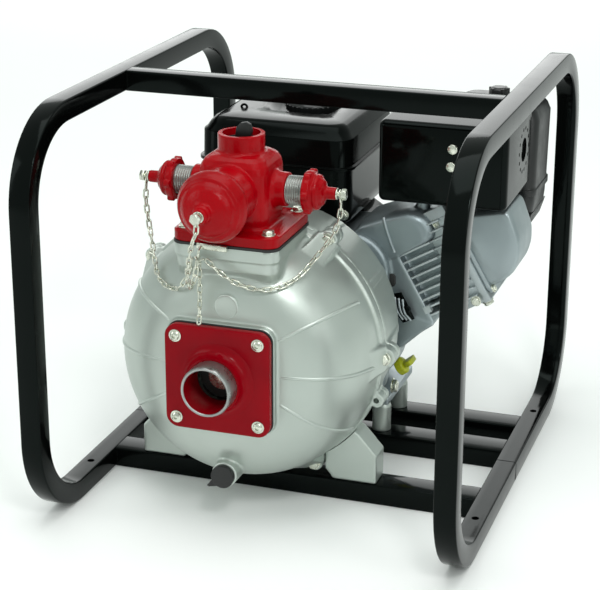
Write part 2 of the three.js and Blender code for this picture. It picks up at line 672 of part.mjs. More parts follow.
function cylinderHead() {
  const core = box([HEAD_START, -45, -98], [HEAD_END, 45, 36]);
  const chamber = box([HEAD_START - 1, -24, -24], [HEAD_START + 12, 24, 24]);
  return alongCylinder(core.add(coolingFins(HEAD_START, HEAD_END - 12)).subtract(chamber));
}

// The valve cover tapers a little towards its outer face.
function valveCover() {
  const side = outline([
    [HEAD_END + FIT_GAP, -86], [HEAD_END + 24, -84], [HEAD_END + 40, -79], [HEAD_END + 54, -66],
    [HEAD_END + 65, -46], [HEAD_END + 71, -8], [HEAD_END + 65, -3], [HEAD_END + 13, 13],
    [HEAD_END + FIT_GAP, 15],
  ]);
  const inside = outline([
    [HEAD_END - 1, -78], [HEAD_END + 24, -76], [HEAD_END + 36, -72], [HEAD_END + 47, -60],
    [HEAD_END + 57, -43], [HEAD_END + 62, -10], [HEAD_END - 1, 7],
  ]);
  return alongCylinder(prismAlongY(side, -42, 42).subtract(prismAlongY(inside, -35, 35)));
}

const ROD_HALF = 8;

function piston() {
  const skirt = turnedAboutX([
    [0, 172], [0, 178], [BORE_RADIUS - 0.5, 178], [BORE_RADIUS - 0.5, 130], [BORE_RADIUS - 5, 130],
    [BORE_RADIUS - 5, 172], [0, 172],
  ], [0, 0], MEDIUM);
  return alongCylinder(skirt);
}

function connectingRod() {
  const bigEnd = turnedAboutY(ring(24, SHAFT_RADIUS + 0.8, -ROD_HALF, ROD_HALF), [0, 0], MEDIUM);
  const beam = box([22, -5, -6], [152, 5, 6]);
  const smallEnd = turnedAboutY(ring(12, 6, -ROD_HALF, ROD_HALF), [155, 0], MEDIUM);
  const pinHole = turnedAboutY(rod(6, -20, 20), [155, 0], MEDIUM);
  return alongCylinder(joined(bigEnd, beam, smallEnd).subtract(pinHole));
}

function crankshaft() {
  const [webRadius, webBack, webFront] = [46, 84, 46];
  return turnedAboutY([
    [0, -141], [SHAFT_RADIUS, -141], [SHAFT_RADIUS, webFront], [webRadius, webFront],
    [webRadius, webFront + 12], [SHAFT_RADIUS, webFront + 12], [SHAFT_RADIUS, webBack], [webRadius, webBack],
    [webRadius, webBack + 12], [SHAFT_RADIUS, webBack + 12], [SHAFT_RADIUS, 178], [0, 178],
  ], [PUMP_X, PUMP_Z], MEDIUM);
}

const FLYWHEEL_RADIUS = 98;
const FLYWHEEL_BLADES = 12;

function flywheel() {
  const axis = [PUMP_X, PUMP_Z];
  const parts = [
    turnedAboutY(rod(FLYWHEEL_RADIUS, 140, 152), axis, FINE),
    turnedAboutY(rod(28, 140, 174), axis, MEDIUM),
  ];
  for (let i = 0; i < FLYWHEEL_BLADES; i += 1) {
    const blade = new THREE.BoxGeometry(26, 20, 3).translate(80, 161, 0);
    blade.rotateY((2 * Math.PI * i) / FLYWHEEL_BLADES).translate(PUMP_X, 0, PUMP_Z);
    parts.push(solid(blade));
  }
  return joined(...parts).subtract(turnedAboutY(rod(SHAFT_RADIUS + 0.05, 100, 200), axis, MEDIUM));
}

// ---------------------------------------------------------------- engine fittings

const BLOWER_BACK_Y = 190;
const RECOIL_BACK_Y = 231;

function blowerHousing() {
  const axis = [PUMP_X, PUMP_Z];
  const front = BLOCK_BACK_Y + FACE_GAP;
  const over = roundedRectangle(116, 90, 25, [78, 250]);
  const overInside = roundedRectangle(108, 82, 21, [78, 250]);
  const flat = box([-190, front - 1, BASE_Z + 5], [200, BLOWER_BACK_Y + 1, BLOCK_TOP_Z]);
  const outside = turnedAboutY(rod(118, front, BLOWER_BACK_Y), axis, FINE)
    .add(prismAlongY(over, front, BLOWER_BACK_Y - 22)).intersect(flat);
  return outside
    .subtract(turnedAboutY(rod(103, front - 1, BLOWER_BACK_Y - 3), axis, FINE))
    .subtract(prismAlongY(overInside, front - 1, BLOWER_BACK_Y - 25))
    .subtract(turnedAboutY(rod(80, BLOWER_BACK_Y - 10, BLOWER_BACK_Y + 1), axis, FINE));
}

function recoilHousing() {
  const axis = [PUMP_X, PUMP_Z];
  const front = BLOWER_BACK_Y + FACE_GAP;
  const dome = turnedAboutY([
    [82, front], [100, front], [100, front + 12], [92, front + 30], [70, RECOIL_BACK_Y], [0, RECOIL_BACK_Y],
    [0, RECOIL_BACK_Y - 3], [68, RECOIL_BACK_Y - 3], [88, front + 28], [96, front + 12],
    [96, front + 3], [82, front + 3], [82, front],
  ], axis, FINE);
  const exit = box([PUMP_X + 20, RECOIL_BACK_Y - 10, PUMP_Z + 38], [PUMP_X + 32, RECOIL_BACK_Y + 5, PUMP_Z + 50]);
  return dome.subtract(exit);
}

const GRIP_X = PUMP_X + 26;
const GRIP_Z = PUMP_Z + 44;

function recoilGrip() {
  const front = RECOIL_BACK_Y + FACE_GAP;
  const neck = turnedAboutY([[0, front], [10, front], [6, front + 14], [0, front + 14]], [GRIP_X, GRIP_Z], COARSE);
  const bar = turnedAboutX([
    [0, GRIP_X - 38], [7, GRIP_X - 36], [9, GRIP_X - 26], [8, GRIP_X], [9, GRIP_X + 26],
    [7, GRIP_X + 36], [0, GRIP_X + 38],
  ], [front + 20, GRIP_Z], COARSE);
  return neck.add(bar);
}

const GUARD_LOW = [70, 6.5, 345];
const GUARD_HIGH = [230, 140, 447];
const GUARD_WALL = 2;
const OUTLET_Y = 101.5;
const OUTLET_HEIGHT = 400;

// The guard is a folded box over the muffler, open behind and below.
function mufflerGuard() {
  const [x0, y0, z0] = GUARD_LOW;
  const [x1, y1, z1] = GUARD_HIGH;
  const face = roundedRectangle(x1 - x0, z1 - z0, 12, [(x0 + x1) / 2, (z0 + z1) / 2]);
  const low = [x0 + GUARD_WALL, y0 + GUARD_WALL, z0 - 1];
  const high = [x1 - GUARD_WALL, y1 + 1, z1 - GUARD_WALL];
  const outlet = turnedAboutX(rod(16, x1 - 10, x1 + 5), [OUTLET_Y, OUTLET_HEIGHT], MEDIUM);
  return prismAlongY(face, y0, y1).subtract(roomInside(low, high)).subtract(outlet);
}

// A box room with its upper corners cut to follow a rounded shell.
function roomInside([x0, y0, z0], [x1, y1, z1]) {
  const cut = 8;
  const shape = outline([[x0, z0], [x1, z0], [x1, z1 - cut], [x1 - cut, z1], [x0 + cut, z1], [x0, z1 - cut]]);
  return prismAlongY(shape, y0, y1);
}

function muffler() {
  const can = prismAlongY(roundedRectangle(118, 72, 26, [149, 396]), 24, 122);
  const pipe = turnedAboutX(rod(11, 205, 226), [OUTLET_Y, OUTLET_HEIGHT], MEDIUM);
  const bore = turnedAboutX(rod(8, 190, 230), [OUTLET_Y, OUTLET_HEIGHT], MEDIUM);
  const room = prismAlongY(roundedRectangle(114, 68, 24, [149, 396]), 26, 120);
  const port = prismAlongZ(roundedRectangle(24, 30, 6, [150, 70]), 345, 361);
  return joined(can, pipe, port).subtract(room).subtract(bore);
}

const CLEANER_LOW = [118, 146, 300];
const CLEANER_HIGH = [238, 246, 441];
const CLEANER_SPLIT_Z = 326;
const KNOB_X = 176;
const KNOB_Y = 196;

function cleanerOutline(inset) {
  const [x0, y0] = CLEANER_LOW;
  const [x1, y1] = CLEANER_HIGH;
  const middle = [(x0 + x1) / 2, (y0 + y1) / 2];
  return roundedRectangle(x1 - x0 - 2 * inset, y1 - y0 - 2 * inset, 15 - inset, middle);
}

// Under the tray hangs an intake box that narrows downwards.
function airCleanerBase() {
  const [, , floor] = CLEANER_LOW;
  const top = CLEANER_SPLIT_Z - FACE_GAP;
  const intake = outline([[182, floor + 1], [234, floor + 1], [227, 281], [200, 248], [182, 248]]);
  const intakeRoom = outline([[185, floor + 5], [230, floor + 5], [224, 282], [198.5, 251], [185, 251]]);
  const tray = prismAlongZ(cleanerOutline(3), floor, top)
    .add(prismAlongY(intake, 150, 243))
    .subtract(prismAlongZ(cleanerOutline(6), floor + 4, top + 1))
    .subtract(prismAlongY(intakeRoom, 153, 237));
  const stud = turnedAboutZ(rod(3, floor + 2, CLEANER_HIGH[2] + 6), [KNOB_X, KNOB_Y], COARSE);
  const port = turnedAboutZ(rod(15, 200, 350), [155, 176], MEDIUM);
  return tray.add(stud).subtract(port);
}

function airFilter() {
  const outside = prismAlongZ(roundedRectangle(76, 66, 20, [KNOB_X, KNOB_Y]), CLEANER_SPLIT_Z + 2, 420);
  const inside = prismAlongZ(roundedRectangle(44, 34, 10, [KNOB_X, KNOB_Y]), CLEANER_SPLIT_Z, 425);
  return outside.subtract(inside);
}

function airCleanerCover() {
  const top = CLEANER_HIGH[2];
  const stud = turnedAboutZ(rod(3.5, top - 20, top + 5), [KNOB_X, KNOB_Y], COARSE);
  return joined(
    prismAlongZ(cleanerOutline(0), CLEANER_SPLIT_Z, top - 14),
    prismAlongZ(cleanerOutline(8), top - 15, top),
  )
    .subtract(prismAlongZ(cleanerOutline(3), CLEANER_SPLIT_Z - 1, top - 17))
    .subtract(prismAlongZ(cleanerOutline(11), top - 18, top - 3))
    .subtract(stud);
}

function airCleanerKnob() {
  const bottom = CLEANER_HIGH[2] + FACE_GAP;
  const head = turnedAboutZ([
    [3.3, bottom], [9, bottom], [14, bottom + 4], [13, bottom + 12], [0, bottom + 14], [0, bottom + 7],
    [3.3, bottom + 7], [3.3, bottom],
  ], [KNOB_X, KNOB_Y], MEDIUM);
  return head;
}

function carburettor() {
  const body = box([140, 126, 258], [170, 176, 288]);
  const throat = turnedAboutZ(rod(15, 270, CLEANER_LOW[2] - FACE_GAP), [155, 176], MEDIUM);
  const bowl = turnedAboutZ(rod(17, 236, 260), [157, 150], MEDIUM);
  return joined(body, throat, bowl);
}

// A flat lever with a round hub, lying in a plane square to Y.
function flatLever([x, y, z], length, degrees) {
  const arm = new THREE.BoxGeometry(length, 3, 7).translate(length / 2, 0, 0);
  arm.rotateY(THREE.MathUtils.degToRad(-degrees)).translate(x, y, z);
  return turnedAboutY(rod(6, y - 2, y + 2), [x, z], COARSE).add(solid(arm));
}

const TANK_LOW = [-170, 6.5, 303.5];
const TANK_HIGH = [35, 224, 430];
const TANK_SEAM_Z = 378;
const TANK_CREASE_Z = 414;
const TANK_WALL = 2;
const FILLER = [-54, 130];
const DISH_CENTRE = [-60, 136];
const DISH_RADIUS = 70;
const DISH_FLOOR_Z = 418;
const FILLER_TOP_Z = 421;

function tankOutline(inset) {
  const [x0, y0] = TANK_LOW;
  const [x1, y1] = TANK_HIGH;
  const middle = [(x0 + x1) / 2, (y0 + y1) / 2];
  return roundedRectangle(x1 - x0 - 2 * inset, y1 - y0 - 2 * inset, 26 - inset, middle);
}

// A pressed tank in two halves, with the filler in a round dish in its top.
function fuelTank() {
  const [bottom, top] = [TANK_LOW[2], TANK_HIGH[2]];
  const shell = joined(
    prismAlongZ(tankOutline(4), bottom, TANK_CREASE_Z),
    prismAlongZ(tankOutline(0), TANK_SEAM_Z - 2, TANK_SEAM_Z + 2),
    prismAlongZ(tankOutline(8), TANK_CREASE_Z - 1, top - 7),
    prismAlongZ(tankOutline(16), top - 8, top),
  );
  const dish = turnedAboutZ([
    [0, DISH_FLOOR_Z], [DISH_RADIUS - 22, DISH_FLOOR_Z], [DISH_RADIUS, top], [DISH_RADIUS, top + 1],
    [0, top + 1],
  ], DISH_CENTRE, FINE);
  return shell
    .subtract(dish)
    .add(turnedAboutZ(rod(27, DISH_FLOOR_Z - 2, FILLER_TOP_Z), FILLER, MEDIUM))
    .subtract(prismAlongZ(tankOutline(4 + TANK_WALL), bottom + TANK_WALL, TANK_CREASE_Z - 3))
    .subtract(turnedAboutZ(rod(24, DISH_FLOOR_Z - 10, top), FILLER, MEDIUM));
}

function fuelCap() {
  const bottom = FILLER_TOP_Z + FACE_GAP;
  return turnedAboutZ([
    [0, bottom], [33, bottom], [35, bottom + 3], [35, bottom + 12], [31, bottom + 15], [0, bottom + 16],
  ], FILLER, MEDIUM);
}

const DIPSTICK_Y = 36;
const DIPSTICK_TILT = THREE.MathUtils.degToRad(35);

// The dipstick screws into the crankcase's lower right side and points out and up.
function dipstick() {
  const cap = turned([[0, 0], [11, 0], [11, 9], [6, 12], [0, 12]], COARSE);
  const wing = new THREE.BoxGeometry(26, 14, 5).translate(0, 17, 0);
  const tilt = new THREE.Matrix4().makeRotationY(-DIPSTICK_TILT);
  const lay = new THREE.Matrix4().makeRotationZ(-Math.PI / 2);
  const shape = solid(cap).add(solid(wing));
  return solid(geometryOf(shape).applyMatrix4(lay).applyMatrix4(tilt).translate(94, DIPSTICK_Y, 118));
}

function enginePost(x, y) {
  const top = BASE_Z - 5 - FACE_GAP;
  return turnedAboutZ(rod(12.5, TUBE + FACE_GAP, top), [x, y], MEDIUM);
}

// ---------------------------------------------------------------- assembly

const pump = new THREE.Group();

function place(name, shape, finish) {
  const mesh = new THREE.Mesh(geometryOf(shape), finish);
  mesh.name = name;
  pump.add(mesh);
}

place('left_loop', frameLoop(-1), blackPaint());
place('right_loop', frameLoop(1), blackPaint());
place('top_crossbar', topCrossbar(), blackPaint());
place('front_rail', rail(FRONT_RAIL_Y), blackPaint());
place('middle_rail', rail(MIDDLE_RAIL_Y), blackPaint());
place('rear_rail', rail(REAR_RAIL_Y), blackPaint());

place('pump_casing', pumpCasing(), castAluminium());
place('casing_seal', casingSeal(), blackRubber());
place('rear_bracket', rearBracket(), castAluminium());
place('volute', volute(), castIron());
place('mechanical_seal', mechanicalSeal(), pipeSteel());
place('impeller', impeller(), castIron());
place('suction_gasket', suctionGasket(), blackRubber());
place('suction_flange', suctionFlange(), redPaint());
place('suction_nipple', suctionNipple(), pipeSteel());
place('check_valve_flap', checkValveFlap(), blackRubber());
place('drain_plug', drainPlug(), blackPlastic());

place('discharge_gasket', dischargeGasket(), blackRubber());
place('discharge_manifold', dischargeManifold(), redPaint());
place('left_nipple', sideNipple(-1), pipeSteel());
place('right_nipple', sideNipple(1), pipeSteel());
place('front_cap', frontCap(), redPaint());
place('left_cap', sideCap(-1), redPaint());
place('right_cap', sideCap(1), redPaint());
place('front_cap_bolt', frontCapBolt(), zinc());
place('left_cap_bolt', sideCapBolt(-1), zinc());
place('right_cap_bolt', sideCapBolt(1), zinc());
place('neck_plug', neckPlug(), blackPlastic());
place('chain_hook', chainHook(), zinc());
place('left_chain', chain(LEFT_CHAIN), zinc());
place('right_chain', chain(RIGHT_CHAIN), zinc());
place('front_chain', chain(FRONT_CHAIN), zinc());
place('spare_chain', chain(SPARE_CHAIN), zinc());

place('crankshaft', crankshaft(), pipeSteel());
place('crankcase_cover', crankcaseCover(), engineAluminium());
place('cylinder_block', cylinderBlock(), engineAluminium());
place('cylinder_head', cylinderHead(), engineAluminium());
place('valve_cover', valveCover(), engineAluminium());
place('piston', piston(), engineAluminium());
place('connecting_rod', connectingRod(), engineAluminium());
place('flywheel', flywheel(), castIron());
place('blower_housing', blowerHousing(), blackPaint());
place('recoil_housing', recoilHousing(), blackPaint());
place('recoil_grip', recoilGrip(), blackRubber());
place('muffler', muffler(), pipeSteel());
place('muffler_guard', mufflerGuard(), blackPaint());
place('air_cleaner_base', airCleanerBase(), blackPlastic());
place('air_filter', airFilter(), foam());
place('air_cleaner_cover', airCleanerCover(), blackPlastic());
place('air_cleaner_knob', airCleanerKnob(), blackPlastic());
place('carburettor', carburettor(), engineAluminium());
place('choke_lever', flatLever([180, 134, 272], 34, 20), blackPlastic());
place('throttle_lever', flatLever([180, 126, 256], 44, -20), blackPlastic());
place('fuel_tank', fuelTank(), blackPaint());
place('fuel_cap', fuelCap(), blackPlastic());
place('dipstick', dipstick(), yellowPlastic());
for (const x of POST_X) {
  for (const y of [MIDDLE_RAIL_Y, REAR_RAIL_Y]) {
    const side = x < PUMP_X ? 'left' : 'right';
    const end = y === MIDDLE_RAIL_Y ? 'front' : 'rear';
    place(`${end}_${side}_post`, enginePost(x, y), castAluminium());
  }
}

export default pump;
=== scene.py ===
import json
import math
import random

import bmesh
import bpy
from mathutils import Matrix, Vector


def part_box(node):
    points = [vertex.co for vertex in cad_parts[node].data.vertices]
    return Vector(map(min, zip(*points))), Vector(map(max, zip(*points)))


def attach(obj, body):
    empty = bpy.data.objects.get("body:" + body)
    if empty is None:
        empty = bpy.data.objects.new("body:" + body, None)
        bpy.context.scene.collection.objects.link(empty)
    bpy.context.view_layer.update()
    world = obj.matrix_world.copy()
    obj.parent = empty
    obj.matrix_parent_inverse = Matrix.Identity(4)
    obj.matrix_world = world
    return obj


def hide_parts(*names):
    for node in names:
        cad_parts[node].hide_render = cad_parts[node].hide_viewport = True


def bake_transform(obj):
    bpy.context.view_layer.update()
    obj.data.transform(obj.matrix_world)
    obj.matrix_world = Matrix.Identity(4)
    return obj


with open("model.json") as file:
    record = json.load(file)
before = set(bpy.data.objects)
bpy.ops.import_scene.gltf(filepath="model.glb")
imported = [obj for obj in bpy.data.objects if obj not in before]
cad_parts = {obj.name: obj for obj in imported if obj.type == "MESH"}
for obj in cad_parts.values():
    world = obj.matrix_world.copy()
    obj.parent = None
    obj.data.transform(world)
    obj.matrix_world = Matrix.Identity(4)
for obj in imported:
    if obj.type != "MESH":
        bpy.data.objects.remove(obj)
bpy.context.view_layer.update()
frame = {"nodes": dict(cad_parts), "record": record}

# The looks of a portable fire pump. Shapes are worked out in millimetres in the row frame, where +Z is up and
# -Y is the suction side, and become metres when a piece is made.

MM = 0.001
random.seed(7)


def in_mm(node):
    """The low and high corner of a CAD node's box, in millimetres."""
    low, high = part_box(node)
    return low / MM, high / MM


# ---------------------------------------------------------------- places, from the frame

LOOP_LOW, LOOP_HIGH = in_mm("right_loop")
TUBE = LOOP_HIGH.x - LOOP_LOW.x
LOOP_X = (LOOP_HIGH.x + LOOP_LOW.x) / 2
BEND_RADIUS = 110
ANCHOR_Y = 167

PIPE_LOW, PIPE_HIGH = in_mm("suction_nipple")
PUMP_X = (PIPE_LOW.x + PIPE_HIGH.x) / 2
PUMP_Z = (PIPE_LOW.z + PIPE_HIGH.z) / 2
PIPE_RADIUS = (PIPE_HIGH.z - PIPE_LOW.z) / 2
PIPE_BORE = PIPE_RADIUS - 3.95
SUCTION_BORE = PIPE_BORE + 6
DRAIN_Z = 67
FLANGE_LOW, FLANGE_HIGH = in_mm("suction_flange")
FLANGE = FLANGE_HIGH.x - FLANGE_LOW.x
FLANGE_CORNER = 15
SUCTION_BACK_Y = FLANGE_HIGH.y
SUCTION_FACE_Y = SUCTION_BACK_Y - 10
SUCTION_BOSS_Y = in_mm("suction_gasket")[1].y + 0.05

RIM_BACK_Y = in_mm("pump_casing")[1].y
RIM_FRONT_Y = RIM_BACK_Y - 15
RIM_RADIUS = 159.5
CASING_RADIUS = 156
BOSS_TOP_Z = in_mm("discharge_gasket")[0].z - 0.05
BRACKET_BACK_Y = in_mm("rear_bracket")[1].y

MANIFOLD_LOW, MANIFOLD_HIGH = in_mm("discharge_manifold")
LEFT_PIPE_LOW, LEFT_PIPE_HIGH = in_mm("left_nipple")
DISCHARGE_Y = (LEFT_PIPE_LOW.y + LEFT_PIPE_HIGH.y) / 2
OUTLET_Z = (LEFT_PIPE_LOW.z + LEFT_PIPE_HIGH.z) / 2
FRONT_CAP_LOW, FRONT_CAP_HIGH = in_mm("front_cap")
PUMP_AXIS = Vector((PUMP_X, 0, PUMP_Z))
OUTLET = Vector((PUMP_X, DISCHARGE_Y, OUTLET_Z))

BLOCK_LOW = in_mm("cylinder_block")[0]
COVER_LOW, COVER_HIGH = in_mm("crankcase_cover")
TANK_LOW, TANK_HIGH = in_mm("fuel_tank")
GUARD_LOW, GUARD_HIGH = in_mm("muffler_guard")
CLEANER_LOW, CLEANER_HIGH = in_mm("air_cleaner_cover")
CYLINDER_TILT = math.radians(30)
CYLINDER_Y = 70
BARREL_START = 120
BARREL_END = 203.5
FIN_START = 160
HEAD_START = 204.4
HEAD_END = 237.9
FIN_THICKNESS = 2.4
FIN_HEIGHTS = [-84 + 10.5 * i for i in range(11)]

X, Y, Z = Vector((1, 0, 0)), Vector((0, 1, 0)), Vector((0, 0, 1))

# ---------------------------------------------------------------- camera

CAMERA_PLACE = Vector((0.6452, -1.9971, 0.9619))
CAMERA_YAW = math.radians(18.6)
CAMERA_DIP = math.radians(19.54)
CAMERA_ROLL = math.radians(0.15)
CAMERA_LENS = 106.36


def add_camera():
    camera = bpy.data.objects.new("camera", bpy.data.cameras.new("camera"))
    bpy.context.scene.collection.objects.link(camera)
    turn = Matrix.Rotation(CAMERA_YAW, 4, "Z") @ Matrix.Rotation(math.pi / 2 - CAMERA_DIP, 4, "X")
    camera.matrix_world = Matrix.Translation(CAMERA_PLACE) @ turn @ Matrix.Rotation(CAMERA_ROLL, 4, "Z")
    camera.data.lens = CAMERA_LENS
    camera.data.sensor_width = 36
    camera.data.clip_end = 50
    bpy.context.scene.camera = camera


# ---------------------------------------------------------------- materials

class Finish:
    """A Principled material with shortcuts for the procedural nodes that feed it."""

    def __init__(self, name, color, roughness, metallic=0.0, specular=0.5, specular_tint=(1, 1, 1)):
        self.material = bpy.data.materials.new(name)
        self.material.use_nodes = True
        self.tree = self.material.node_tree
        self.shader = self.tree.nodes["Principled BSDF"]
        self.color = (*color, 1)
        self.roughness = roughness
        self.shader.inputs["Base Color"].default_value = self.color
        self.shader.inputs["Roughness"].default_value = roughness
        self.shader.inputs["Metallic"].default_value = metallic
        self.shader.inputs["Specular IOR Level"].default_value = specular
        self.shader.inputs["Specular Tint"].default_value = (*specular_tint, 1)
        self.place = self.add("ShaderNodeTexCoord").outputs["Object"]
        self.normal = None

    def add(self, kind):
        return self.tree.nodes.new(kind)

    def link(self, a, b):
        self.tree.links.new(a, b)

    def noise(self, scale, detail=4.0, stretch=None):
        node = self.add("ShaderNodeTexNoise")
        node.inputs["Scale"].default_value = scale
        node.inputs["Detail"].default_value = detail
        if stretch is None:
            self.link(self.place, node.inputs["Vector"])
        else:
            mapping = self.add("ShaderNodeMapping")
            mapping.inputs["Scale"].default_value = stretch
            self.link(self.place, mapping.inputs["Vector"])
            self.link(mapping.outputs["Vector"], node.inputs["Vector"])
        return node.outputs["Fac"]

    def cells(self, scale):
        node = self.add("ShaderNodeTexVoronoi")
        node.inputs["Scale"].default_value = scale
        self.link(self.place, node.inputs["Vector"])
        return node.outputs["Distance"]

    def steps(self, value, low, high, from_value=0.3, to_value=0.7):
        node = self.add("ShaderNodeMapRange")
        node.inputs["From Min"].default_value = from_value
        node.inputs["From Max"].default_value = to_value
        node.inputs["To Min"].default_value = low
        node.inputs["To Max"].default_value = high
        self.link(value, node.inputs["Value"])
        return node.outputs["Result"]

    def tint(self, value, other, from_value=0.35, to_value=0.65):
        """Mixes the base colour towards another where the value is high."""
        node = self.add("ShaderNodeMix")
        node.data_type = "RGBA"
        node.inputs[6].default_value = self.color
        node.inputs[7].default_value = (*other, 1)
        self.link(self.steps(value, 0, 1, from_value, to_value), node.inputs["Factor"])
        before = self.shader.inputs["Base Color"]
        if before.is_linked:
            self.link(before.links[0].from_socket, node.inputs[6])
        self.link(node.outputs[2], self.shader.inputs["Base Color"])
        return self

    def rough(self, value, spread):
        self.link(self.steps(value, self.roughness - spread, self.roughness + spread),
                  self.shader.inputs["Roughness"])
        return self

    def bump(self, value, height_mm, strength=1.0):
        node = self.add("ShaderNodeBump")
        node.inputs["Distance"].default_value = height_mm * MM
        node.inputs["Strength"].default_value = strength
        self.link(value, node.inputs["Height"])
        if self.normal:
            self.link(self.normal, node.inputs["Normal"])
        self.normal = node.outputs["Normal"]
        self.link(self.normal, self.shader.inputs["Normal"])
        return self

    def edges(self, color, from_value=0.52, to_value=0.62):
        """Wears the convex edges to another colour."""
        return self.tint(self.add("ShaderNodeNewGeometry").outputs["Pointiness"], color, from_value, to_value)


GREENISH = (0.80, 1.0, 0.95)


def black_paint():
    f = Finish("black_paint", (0.0009, 0.0012, 0.0011), 0.12, specular=0.10, specular_tint=GREENISH)
    f.tint(f.noise(9), (0.0018, 0.0022, 0.0020))
    f.rough(f.noise(35, 6), 0.05)
    return f.bump(f.noise(420, 2), 0.03, 0.4)


def tank_black():
    f = Finish("tank_black", (0.0012, 0.0015, 0.0014), 0.14, specular=0.07, specular_tint=GREENISH)
    f.tint(f.noise(7), (0.0024, 0.0028, 0.0026))
    f.rough(f.noise(30, 6), 0.05)
    return f.bump(f.noise(90, 3), 0.05, 0.4)


def red_enamel():
    f = Finish("red_enamel", (0.36, 0.0003, 0.0040), 0.13, specular=0.13)
    f.tint(f.noise(14), (0.25, 0.0002, 0.0026))
    f.rough(f.noise(50, 6), 0.06)
    f.bump(f.noise(380, 3), 0.36, 1.0)
    return f.bump(f.noise(900, 3), 0.10, 0.8)


def red_plate():
    f = Finish("red_plate", (0.26, 0.0003, 0.0050), 0.2, specular=0.10)
    f.tint(f.noise(16), (0.21, 0.0002, 0.0045))
    f.rough(f.noise(60, 5), 0.06)
    return f.bump(f.noise(320, 4), 0.10, 0.5)


def cast_aluminium():
    f = Finish("cast_aluminium", (0.50, 0.55, 0.51), 0.40, 0.78, specular=0.5)
    f.tint(f.noise(5, 4), (0.455, 0.505, 0.47))
    f.edges((0.70, 0.76, 0.72))
    f.rough(f.noise(30, 6), 0.05)
    f.bump(f.noise(160, 5), 0.07, 0.4)
    return f.bump(f.noise(1100, 3), 0.05, 0.5)


def engine_aluminium():
    f = Finish("engine_aluminium", (0.32, 0.37, 0.385), 0.4, 0.75)
    f.tint(f.noise(8, 5), (0.26, 0.31, 0.325))
    f.edges((0.55, 0.60, 0.61))
    f.rough(f.noise(40, 6), 0.07)
    f.bump(f.noise(220, 5), 0.10, 0.5)
    return f.bump(f.noise(1200, 3), 0.05, 0.5)


def machined_steel():
    f = Finish("machined_steel", (0.42, 0.43, 0.42), 0.3, 0.95)
    f.tint(f.noise(22, 6), (0.30, 0.31, 0.305))
    f.rough(f.noise(70, 6), 0.09)
    return f.bump(f.noise(1, 3, (60, 2600, 60)), 0.04, 0.6)


def threaded_steel():
    f = Finish("threaded_steel", (0.46, 0.48, 0.46), 0.32, 0.95)
    f.tint(f.noise(40, 5), (0.36, 0.375, 0.36))
    f.rough(f.noise(90, 5), 0.06)
    return f.bump(f.noise(900, 3), 0.02, 0.4)


def cast_iron():
    f = Finish("cast_iron", (0.09, 0.092, 0.095), 0.62, 0.8)
    f.tint(f.noise(18, 6), (0.12, 0.10, 0.085))
    f.rough(f.noise(40, 5), 0.1)
    return f.bump(f.noise(500, 5), 0.2, 0.6)


def zinc():
    f = Finish("zinc", (0.74, 0.76, 0.66), 0.24, 0.95)
    f.tint(f.noise(120, 4), (0.56, 0.58, 0.50))
    f.rough(f.noise(200, 4), 0.08)
    return f.bump(f.noise(1500, 3), 0.03, 0.5)


def rubber():
    f = Finish("rubber", (0.012, 0.012, 0.012), 0.62)
    f.tint(f.noise(30, 5), (0.02, 0.02, 0.019))
    f.rough(f.noise(80, 5), 0.1)
    return f.bump(f.noise(700, 4), 0.06, 0.5)


def moulded_plastic():
    f = Finish("moulded_plastic", (0.006, 0.0065, 0.0065), 0.36, specular=0.45)
    f.tint(f.noise(20, 5), (0.010, 0.011, 0.011))
    f.rough(f.noise(60, 5), 0.06)
    return f.bump(f.cells(900), 0.05, 0.4)


def gloss_plastic():
    f = Finish("gloss_plastic", (0.005, 0.0055, 0.0055), 0.2, specular=0.5)
    f.tint(f.noise(20, 5), (0.008, 0.009, 0.009))
    f.rough(f.noise(60, 5), 0.05)
    return f.bump(f.noise(500, 3), 0.03, 0.4)


def yellow_plastic():
    f = Finish("yellow_plastic", (0.42, 0.45, 0.006), 0.34, specular=0.5)
    f.tint(f.noise(60, 5), (0.34, 0.38, 0.004))
    f.rough(f.noise(90, 5), 0.06)
    return f.bump(f.noise(600, 3), 0.05, 0.4)


def filter_foam():
    f = Finish("filter_foam", (0.05, 0.05, 0.045), 0.9)
    f.tint(f.noise(50, 5), (0.03, 0.03, 0.028))
    return f.bump(f.cells(450), 0.6, 0.8)


FINISHES = {
    "black_paint": black_paint(), "red_paint": red_enamel(), "cast_aluminium": cast_aluminium(),
    "engine_aluminium": engine_aluminium(), "pipe_steel": machined_steel(), "cast_iron": cast_iron(),
    "zinc": zinc(), "black_rubber": rubber(), "black_plastic": moulded_plastic(),
    "gloss_black_plastic": gloss_plastic(), "yellow_plastic": yellow_plastic(), "foam": filter_foam(),
    "red_plate": red_plate(), "threaded_steel": threaded_steel(), "tank_black": tank_black(),
}


def dress_cad_nodes():
    """Gives every CAD node the finish of its slot, for those that stay visible."""
    for row in frame["record"]["subparts"]:
        mesh = frame["nodes"][row["node"]].data
        mesh.materials.clear()
        mesh.materials.append(FINISHES[row["material_slot"]].material)


# ---------------------------------------------------------------- shapes
# A shape is (points, faces): points in millimetres, and faces as tuples of their numbers.

def merged(*shapes):
    points, faces = [], []
    for more_points, more_faces in shapes:
        start = len(points)
        points += more_points
        faces += [tuple(i + start for i in face) for face in more_faces]
    return points, faces


def moved(shape, matrix):
    points, faces = shape
    return [matrix @ p for p in points], faces


def loft(rings, closed=False):
    """Joins rings of as many points each, and closes the ends unless the rings close on themselves."""
    size = len(rings[0])
    points = [Vector(p) for ring in rings for p in ring]
    faces = []
    count = len(rings)
    for i in range(count if closed else count - 1):
        a, b = i * size, ((i + 1) % count) * size
        faces += [(a + j, a + (j + 1) % size, b + (j + 1) % size, b + j) for j in range(size)]
    if not closed:
        faces += [tuple(reversed(range(size))), tuple((count - 1) * size + j for j in range(size))]
    return points, faces


